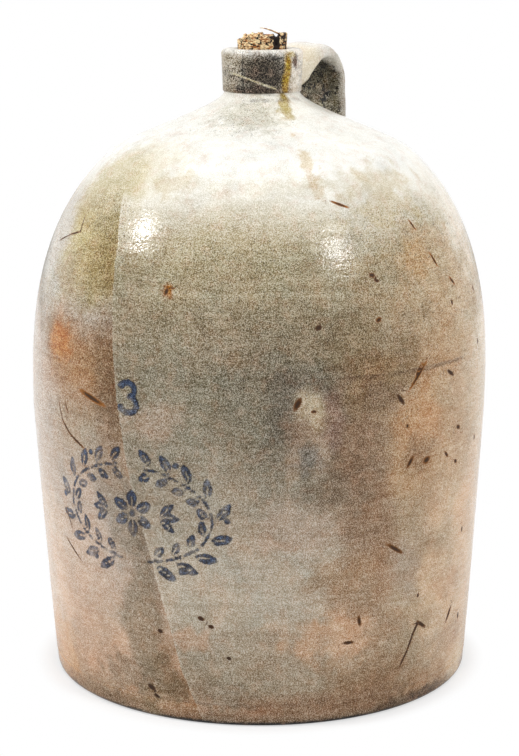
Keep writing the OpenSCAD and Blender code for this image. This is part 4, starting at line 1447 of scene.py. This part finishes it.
def strapMesh(s):
    angles = np.linspace(0, 2 * math.pi, s["sides"], endpoint=False) + math.pi / s["sides"]
    sx = np.sign(np.cos(angles)) * abs(np.cos(angles)) ** (2 / s["fullness"])
    sy = np.sign(np.sin(angles)) * abs(np.sin(angles)) ** (2 / s["fullness"])
    points, shares = [], []
    for middle, heading, position in strapRings(s):
        up = np.array([-heading[1], heading[0]])
        if position < 2:
            left = (1 - np.clip(position / 2, 0, 1)) ** s["rootSwellPower"]
            width = s["width"] + (s["rootWidth"] - s["width"]) * left
            thick = s["thick"] + (s["rootThick"] - s["thick"]) * left
        else:
            grown = (position - 2) ** s["landingSwellPower"]
            width = s["width"] + (s["landingWidth"] - s["width"]) * grown
            thick = s["thick"] + (s["landingThick"] - s["thick"]) * grown
        grooves = s["fingerGrooves"] * np.cos(sx * 2 * s["grooveTurns"] * math.pi) * (sy > 0) * (1 - abs(sx) ** 4)
        undercut = s["undercut"] * np.clip(1 - abs(position / s["undercutAt"] - 1), 0, 1) ** s["undercutPower"]
        y = np.where(sy < 0, 1 - undercut, 1) * sy * thick / 2 + grooves
        points.append(np.column_stack([sx * width / 2, middle[0] + y * up[0], middle[1] + y * up[1]]))
        shares.append(np.column_stack([sx, sy, np.full(len(sx), position)]))
    root, positions = buriedRoot(s, points[0])
    shares = [np.column_stack([sx, sy, np.full(len(sx), position)]) for position in positions] + shares
    return np.array(root + points), np.array(shares)


# The strap is pale and creamy outside, and darker and cracked underneath, the darkness partly the glaze's own and
# partly painted shade under the arch
strapLook = {
    "outerPlaces": (-1, 0.25, 0.7, 1.4, 2.2, 3),
    "outerColours": ("#d9cfba", "#ddd3bd", "#dcd8cf", "#cdc8bd", "#b4aca0", "#a79f91"),
    # The underside is drawn darker partly as painted shade under the arch, darkest below the crest; it pales towards
    # the sides, where less shade falls
    "innerPlaces": (-1, 0.2, 0.6, 0.95, 1.3, 1.75, 2.4, 3),
    "innerColours": ("#b3a998", "#a89e8d", "#8d8675", "#665f4e", "#1f1b12", "#5b5441", "#7d7661", "#5e5744"),
    "innerStart": (-0.35, -0.8),  # across the thickness, from -1 underneath to 1 on top
    "innerFray": 0.15,
    "paleEdge": (0.1, 0.6),       # across the width at the crest, from 0 in the middle to 1 at the sides
    "paleEdgeLow": (0.8, 0.97),   # and down the leg
    "legStart": (0.95, 1.7),
    "palerEdge": 0.85,
    "edgeFray": 0.08,
    "blotFray": 0.25,
    "mottle": 0.8,
    "speckle": (0.15, 0.75),      # outside, and how much more inside
    "crackStart": (0.3, 0.8),
}


def strapGlaze(look, points, shares):
    across, lift, position = shares.T
    # The underside mask darkens the tint partly as painted shade, and also brings more specks and the cracks
    inner = smooth(*look["innerStart"], lift + look["innerFray"] * cloud(points, 4, 81))
    down = smooth(*look["legStart"], position)
    start, end = [high + (low - high) * down for high, low in zip(look["paleEdge"], look["paleEdgeLow"])]
    inner *= 1 - look["palerEdge"] * smooth(start, end, abs(across) + look["edgeFray"] * cloud(points, 5, 84))
    blot = cloud(points, 6, 82)
    tones = []
    for side in ("outer", "inner"):
        ramp = np.array([toLinear(c) for c in look[side + "Colours"]])
        place = position + (look["blotFray"] * blot if side == "inner" else 0)
        tones.append(np.column_stack([np.interp(place, look[side + "Places"], ramp[:, k]) for k in range(3)]))
    tones[1] *= (1 + look["mottle"] * cloud(points, 3, 83))[:, None]
    tint = tones[0] + (tones[1] - tones[0]) * inner[:, None]
    return tint, look["speckle"][0] + look["speckle"][1] * inner, inner * smooth(*look["crackStart"], position)


strapPoints, strapShares = strapMesh(strap)
flat = strapPoints.reshape(-1, 3)
wobble = np.column_stack([cloud(flat, strap["waverSize"], seed) for seed in (21, 25, 29)]) * strap["waver"]
wobble *= smooth(*strap["waverFrom"], strapShares.reshape(-1, 3)[:, 2])[:, None]
flat = leaned(flat + wobble)
handleMesh = bpy.data.meshes.new("strapHandle")
handleMesh.from_pydata([tuple(p * mm) for p in flat], [], skin(strapPoints))
handleMesh.validate()
strapTint, strapSpeckle, strapCracks = strapGlaze(strapLook, flat, strapShares.reshape(-1, 3))
glazePiece(handleMesh, strapTint, strapSpeckle, strapCracks)
strapHandle = addPiece("strapHandle", handleMesh, stoneware)
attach(strapHandle, "jug")
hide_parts("handle_strap")
print("handle pulled,", len(handleMesh.polygons), "faces")


# Cork stopper, its head broken lower on one side of a cleft, with a splinter standing up from it

cork = {
    "sunk": 27.0,
    "proud": 8.5,
    "gap": 0.15,
    "turned": 32.0,
    "cleftOffset": 8.0,
    "cleftWidth": 2.0,
    "cleftSoft": (0.4, 0.3),  # how far its sides slope, outside and inside that width
    "cleftDeep": 7.0,
    "cleftShallower": 0.65,   # by this share at the back
    "cleftFrom": (-3, 4),
    "chipDrop": 1.4,
    "chunkEdges": (-6.5, -2.5),   # across the head, where the left chunk ends and the next one starts
    "chunkDrops": (2.3, 1.0),
    "chunkStep": 0.8,
    "edgeDrop": 0.9,          # how much lower the left rim is than its chunk
    "edgeFrom": (2, 7),       # left of that chunk's edge
    "fibres": ((0.9, -7.5), (-1.1, -3.0)),  # slope and start of the raised fibres that cross at the break
    "fibreRoot": 10,
    "fibreSlant": 0.35,
    "fibreHigh": 1.5,
    "fibreWide": 1.1,
    "fibreCrest": 0.2,
    "fibreEnd": 2,
    "rightDrop": 0.25,        # of the tallest chunk, right of the cleft, less towards its rim
    "rightFrom": (9, 14),
    "tallest": -0.6,
    "roughness": 0.55,
    "roughSize": 3.4,
    "pits": 1.1,
    "pitSize": 3.0,
    "pitFlatness": 2.2,
    "pitLevel": 0.25,         # the part of the noise that leaves the side whole
    "taper": 0.052,           # mm of radius for each mm up the head
    "endRound": 0.4,
    "headRound": 0.5,
    "rimRound": 0.3,
    # How much more rot there is in the whole head, its right chunk and its splinter, how much painted shade darkens
    # its cleft, how far these fade beside the cleft, and what share is left from some mm below the rim down
    "rotAndCleftShade": {"all": 0.02, "cleft": 0.5, "right": 0.05, "splinter": -0.3, "beside": (0.8, 2), "below": 4,
              "sunk": 0.4},
    "columns": 180,
    "rings": 34,
    "ringPower": 0.8,         # below 1 crowds the rings of the head towards its rim
    "innermost": 0.03,        # shares of the radius
    "footRings": (0.3, 0.7, 0.95),
    "sideRows": 44,
    "splinter": ((10.4, 0.0, -1.0), (6.0, -1.2, 1.6), (1.0, -3.0, 3.1), (-1.2, -3.6, 3.0)),
    "splinterRadius": 0.62,
    "splinterTip": 0.22,
    "splinterTaper": 1.3,
    "splinterOval": (1.3, 0.8),  # across it and through it
    "splinterSides": 10,
    "splinterRings": 26,
}


def corkRadius(height):
    return boreRadius(height) - outline["slip"] - cork["gap"]


def headDrop(x, y, c):
    lumps = cloud(np.column_stack([x, y, 0 * x]), c["roughSize"], 71) * c["roughness"]
    left, middle = c["chunkEdges"]
    leftDrop, middleDrop = c["chunkDrops"]
    drop = np.where(x < left, leftDrop, np.where(x < middle, middleDrop + c["chunkStep"], c["chipDrop"]))
    drop = drop + c["edgeDrop"] * smooth(left - c["edgeFrom"][0], left - c["edgeFrom"][1], x)
    for slope, start in c["fibres"]:
        ridge = abs(x - start - slope * (y + c["fibreRoot"]) * c["fibreSlant"])
        drop -= c["fibreHigh"] * smooth(c["fibreWide"], c["fibreCrest"], ridge) * (x < c["fibreEnd"])
    right = x > c["cleftOffset"]
    drop = np.where(right, c["rightDrop"] * (1 - smooth(*c["rightFrom"], x)), drop)
    cleftDeep = c["cleftDeep"] * (1 - c["cleftShallower"] * smooth(*c["cleftFrom"], y))
    outside, inside = c["cleftSoft"]
    inCleft = smooth(c["cleftWidth"] / 2 + outside, c["cleftWidth"] / 2 - inside, abs(x - c["cleftOffset"]))
    return np.maximum(drop + lumps, c["tallest"]) * (1 - inCleft) + cleftDeep * inCleft


def corkPoints(c):
    turns = np.linspace(0, 2 * math.pi, c["columns"], endpoint=False)
    low, top = rimHeight - c["sunk"], rimHeight + c["proud"]
    cosine, sine = np.cos(turns), np.sin(turns)
    rows = [np.column_stack([corkRadius(low) * s * cosine, corkRadius(low) * s * sine, np.full(len(turns), low)])
            for s in c["footRings"]]
    rim = corkRadius(top) - c["rimRound"]
    edge = top - headDrop(rim * cosine, rim * sine, c)
    for share in np.linspace(0, 1, c["sideRows"]):
        height = low + c["endRound"] + (edge - c["headRound"] - low - c["endRound"]) * share
        radius = boreRadius(rimHeight) + (height - rimHeight) * c["taper"] - outline["slip"] - c["gap"]
        place = np.column_stack([radius * cosine, radius * sine, height])
        pitted = np.clip(cloud(place * [1, 1, c["pitFlatness"]], c["pitSize"], 75) - c["pitLevel"], 0, 1)
        radius = radius - pitted * c["pits"] * smooth(rimHeight - 2, rimHeight + 1, height)
        rows.append(np.column_stack([radius * cosine, radius * sine, height]))
    for share in np.linspace(1, c["innermost"], c["rings"]) ** c["ringPower"]:
        radius = rim * share
        rows.append(np.column_stack([radius * cosine, radius * sine,
                                     top - headDrop(radius * cosine, radius * sine, c)]))
    return np.array(rows)


def splinterRings(path, c):
    t = np.linspace(0, 1, c["splinterRings"])
    middles = bezier(path, t)
    ahead = np.gradient(middles, axis=0)
    ahead /= np.linalg.norm(ahead, axis=1)[:, None]
    aside = np.cross(ahead, [0, 0, 1.0])
    aside /= np.linalg.norm(aside, axis=1)[:, None]
    lift = np.cross(aside, ahead)
    turns = np.linspace(0, 2 * math.pi, c["splinterSides"], endpoint=False)
    radii = c["splinterRadius"] + (c["splinterTip"] - c["splinterRadius"]) * t ** c["splinterTaper"]
    wide, thick = c["splinterOval"]
    return middles[:, None] + radii[:, None, None] * (np.cos(turns)[None, :, None] * aside[:, None] * wide
                                                      + np.sin(turns)[None, :, None] * lift[:, None] * thick)


def turnedBy(points, degrees):
    a = math.radians(degrees)
    return np.column_stack([points[:, 0] * math.cos(a) - points[:, 1] * math.sin(a),
                            points[:, 0] * math.sin(a) + points[:, 1] * math.cos(a), points[:, 2]])


corkRows = corkPoints(cork)
splinterPath = [np.array(p) + [0, 0, rimHeight + cork["proud"]] for p in cork["splinter"]]
splinterRows = splinterRings(splinterPath, cork)
corkFlat, splinterFlat = corkRows.reshape(-1, 3), splinterRows.reshape(-1, 3)
rotAndCleftShade = cork["rotAndCleftShade"]
inHead = np.where(corkFlat[:, 2] > rimHeight - rotAndCleftShade["below"], 1.0, rotAndCleftShade["sunk"])
fromCleft = corkFlat[:, 0] - cork["cleftOffset"]
# Painted shade down the narrow cleft, drawn in the cork's void colour
cleftDark = smooth(cork["cleftWidth"] / 2 + rotAndCleftShade["beside"][0], cork["cleftWidth"] / 2, abs(fromCleft))
rightDark = rotAndCleftShade["right"] * smooth(0, rotAndCleftShade["beside"][1], fromCleft)
voids = np.concatenate([(rotAndCleftShade["all"] + rotAndCleftShade["cleft"] * cleftDark + rightDark) * inHead,
                        np.full(len(splinterFlat), rotAndCleftShade["splinter"])])
corkAll = leaned(turnedBy(np.vstack([corkFlat, splinterFlat]), cork["turned"]))
corkMesh = bpy.data.meshes.new("corkStopper")
corkMesh.from_pydata([tuple(p * mm) for p in corkAll], [], skin(corkRows) + skin(splinterRows, len(corkFlat)))
storeValues(corkMesh, "voidShare", voids)
corkStopper = addPiece("corkStopper", corkMesh, barkCork)
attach(corkStopper, "cork")
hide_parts("cork_stopper")
print("cork cut,", len(corkMesh.polygons), "faces")


# Stage and lights

stage = {
    "floorSize": 6000.0,
    "shadowNear": 122.0,
    "shadowFar": 136.0,
    "backdropWhite": "#ffffff",
    "paper": "#f4f4f4",
    "worldLight": 0.2,        # what the object is lit with, while the camera sees 1
    "shadowShare": 0.55,      # how far the paper round the jug is lifted to white
    "mirroredSize": 1000,     # a lamp this large mirrors in the glaze only from above this height
    "mirroredHeight": 45,
}

lampPlaces = {  # azimuth and elevation in degrees, distance and size in mm, power in watts
    "leftSoftbox": (-44.5, 36.5, 1500, 190, 9.4),
    "rightSoftbox": (77, 36, 1500, 270, 7.6),
    "leftWing": (-104, 8, 1500, 1200, 11.1),
    "rightWing": (166, 8, 1500, 1200, 12.2),
    "overheadSoftbox": (20, 80, 1500, 1300, 13.2),
    "frontFill": (24, 12, 2200, 1600, 1.2),
}


def makeLamps(places):
    for name, (azimuth, elevation, distance, size, power) in places.items():
        data = bpy.data.lights.new(name, "AREA")
        data.shape = "SQUARE"
        data.size = size * mm
        data.energy = power
        lamp = bpy.data.objects.new(name, data)
        lamp.visible_glossy = size < stage["mirroredSize"] or elevation > stage["mirroredHeight"]
        e = math.radians(elevation)
        target = Vector((0, 0, rimHeight / 2 * mm))
        lamp.location = target + aroundJug(azimuth, distance * math.cos(e), distance * math.sin(e))
        lamp.rotation_euler = (target - lamp.location).to_track_quat("-Z", "Y").to_euler()
        intoScene(lamp)


def makeWorld():
    world = bpy.data.worlds.new("studioWhite")
    world.use_nodes = True
    world.node_tree.nodes.clear()
    add = functools.partial(addNode, world.node_tree)
    path = add("ShaderNodeLightPath")
    seen = add("ShaderNodeMath", [path.outputs["Is Camera Ray"], path.outputs["Is Glossy Ray"]],
               operation="MAXIMUM")
    seen = add("ShaderNodeMath", [seen, path.outputs["Is Transmission Ray"]], operation="MAXIMUM")
    strength = add("ShaderNodeMapRange", {"Value": seen, "To Min": stage["worldLight"], "To Max": 1.0})
    background = add("ShaderNodeBackground", {"Color": paint(stage["backdropWhite"]), "Strength": strength})
    add("ShaderNodeOutputWorld", {"Surface": background})
    bpy.context.scene.world = world


def makeFloor():
    size = stage["floorSize"] / 2 * mm
    mesh = bpy.data.meshes.new("paleFloor")
    mesh.from_pydata([(-size, -size, 0), (size, -size, 0), (size, size, 0), (-size, size, 0)], [], [(0, 1, 2, 3)])
    floor = bpy.data.objects.new("paleFloor", mesh)
    intoScene(floor)
    material, add = newMaterial("seamlessPaper")
    path = add("ShaderNodeLightPath")
    matt = add("ShaderNodeBsdfDiffuse", {"Color": paint(stage["paper"])})
    glow = add("ShaderNodeEmission", {"Color": paint(stage["backdropWhite"]), "Strength": 1.0})
    place = add("ShaderNodeTexCoord")
    away = add("ShaderNodeVectorMath", [place.outputs["Object"]], operation="LENGTH")
    clear = add("ShaderNodeMapRange", [away.outputs["Value"], stage["shadowNear"] * mm, stage["shadowFar"] * mm,
                                       stage["shadowShare"], 1.0], interpolation_type="SMOOTHSTEP")
    share = add("ShaderNodeMath", [path.outputs["Is Camera Ray"], clear], operation="MULTIPLY")
    mix = add("ShaderNodeMixShader", [share, matt, glow])
    add("ShaderNodeOutputMaterial", {"Surface": mix})
    mesh.materials.append(material)


makeLamps(lampPlaces)
makeWorld()
makeFloor()
bpy.context.scene.view_settings.view_transform = "Standard"
print("stage lit")
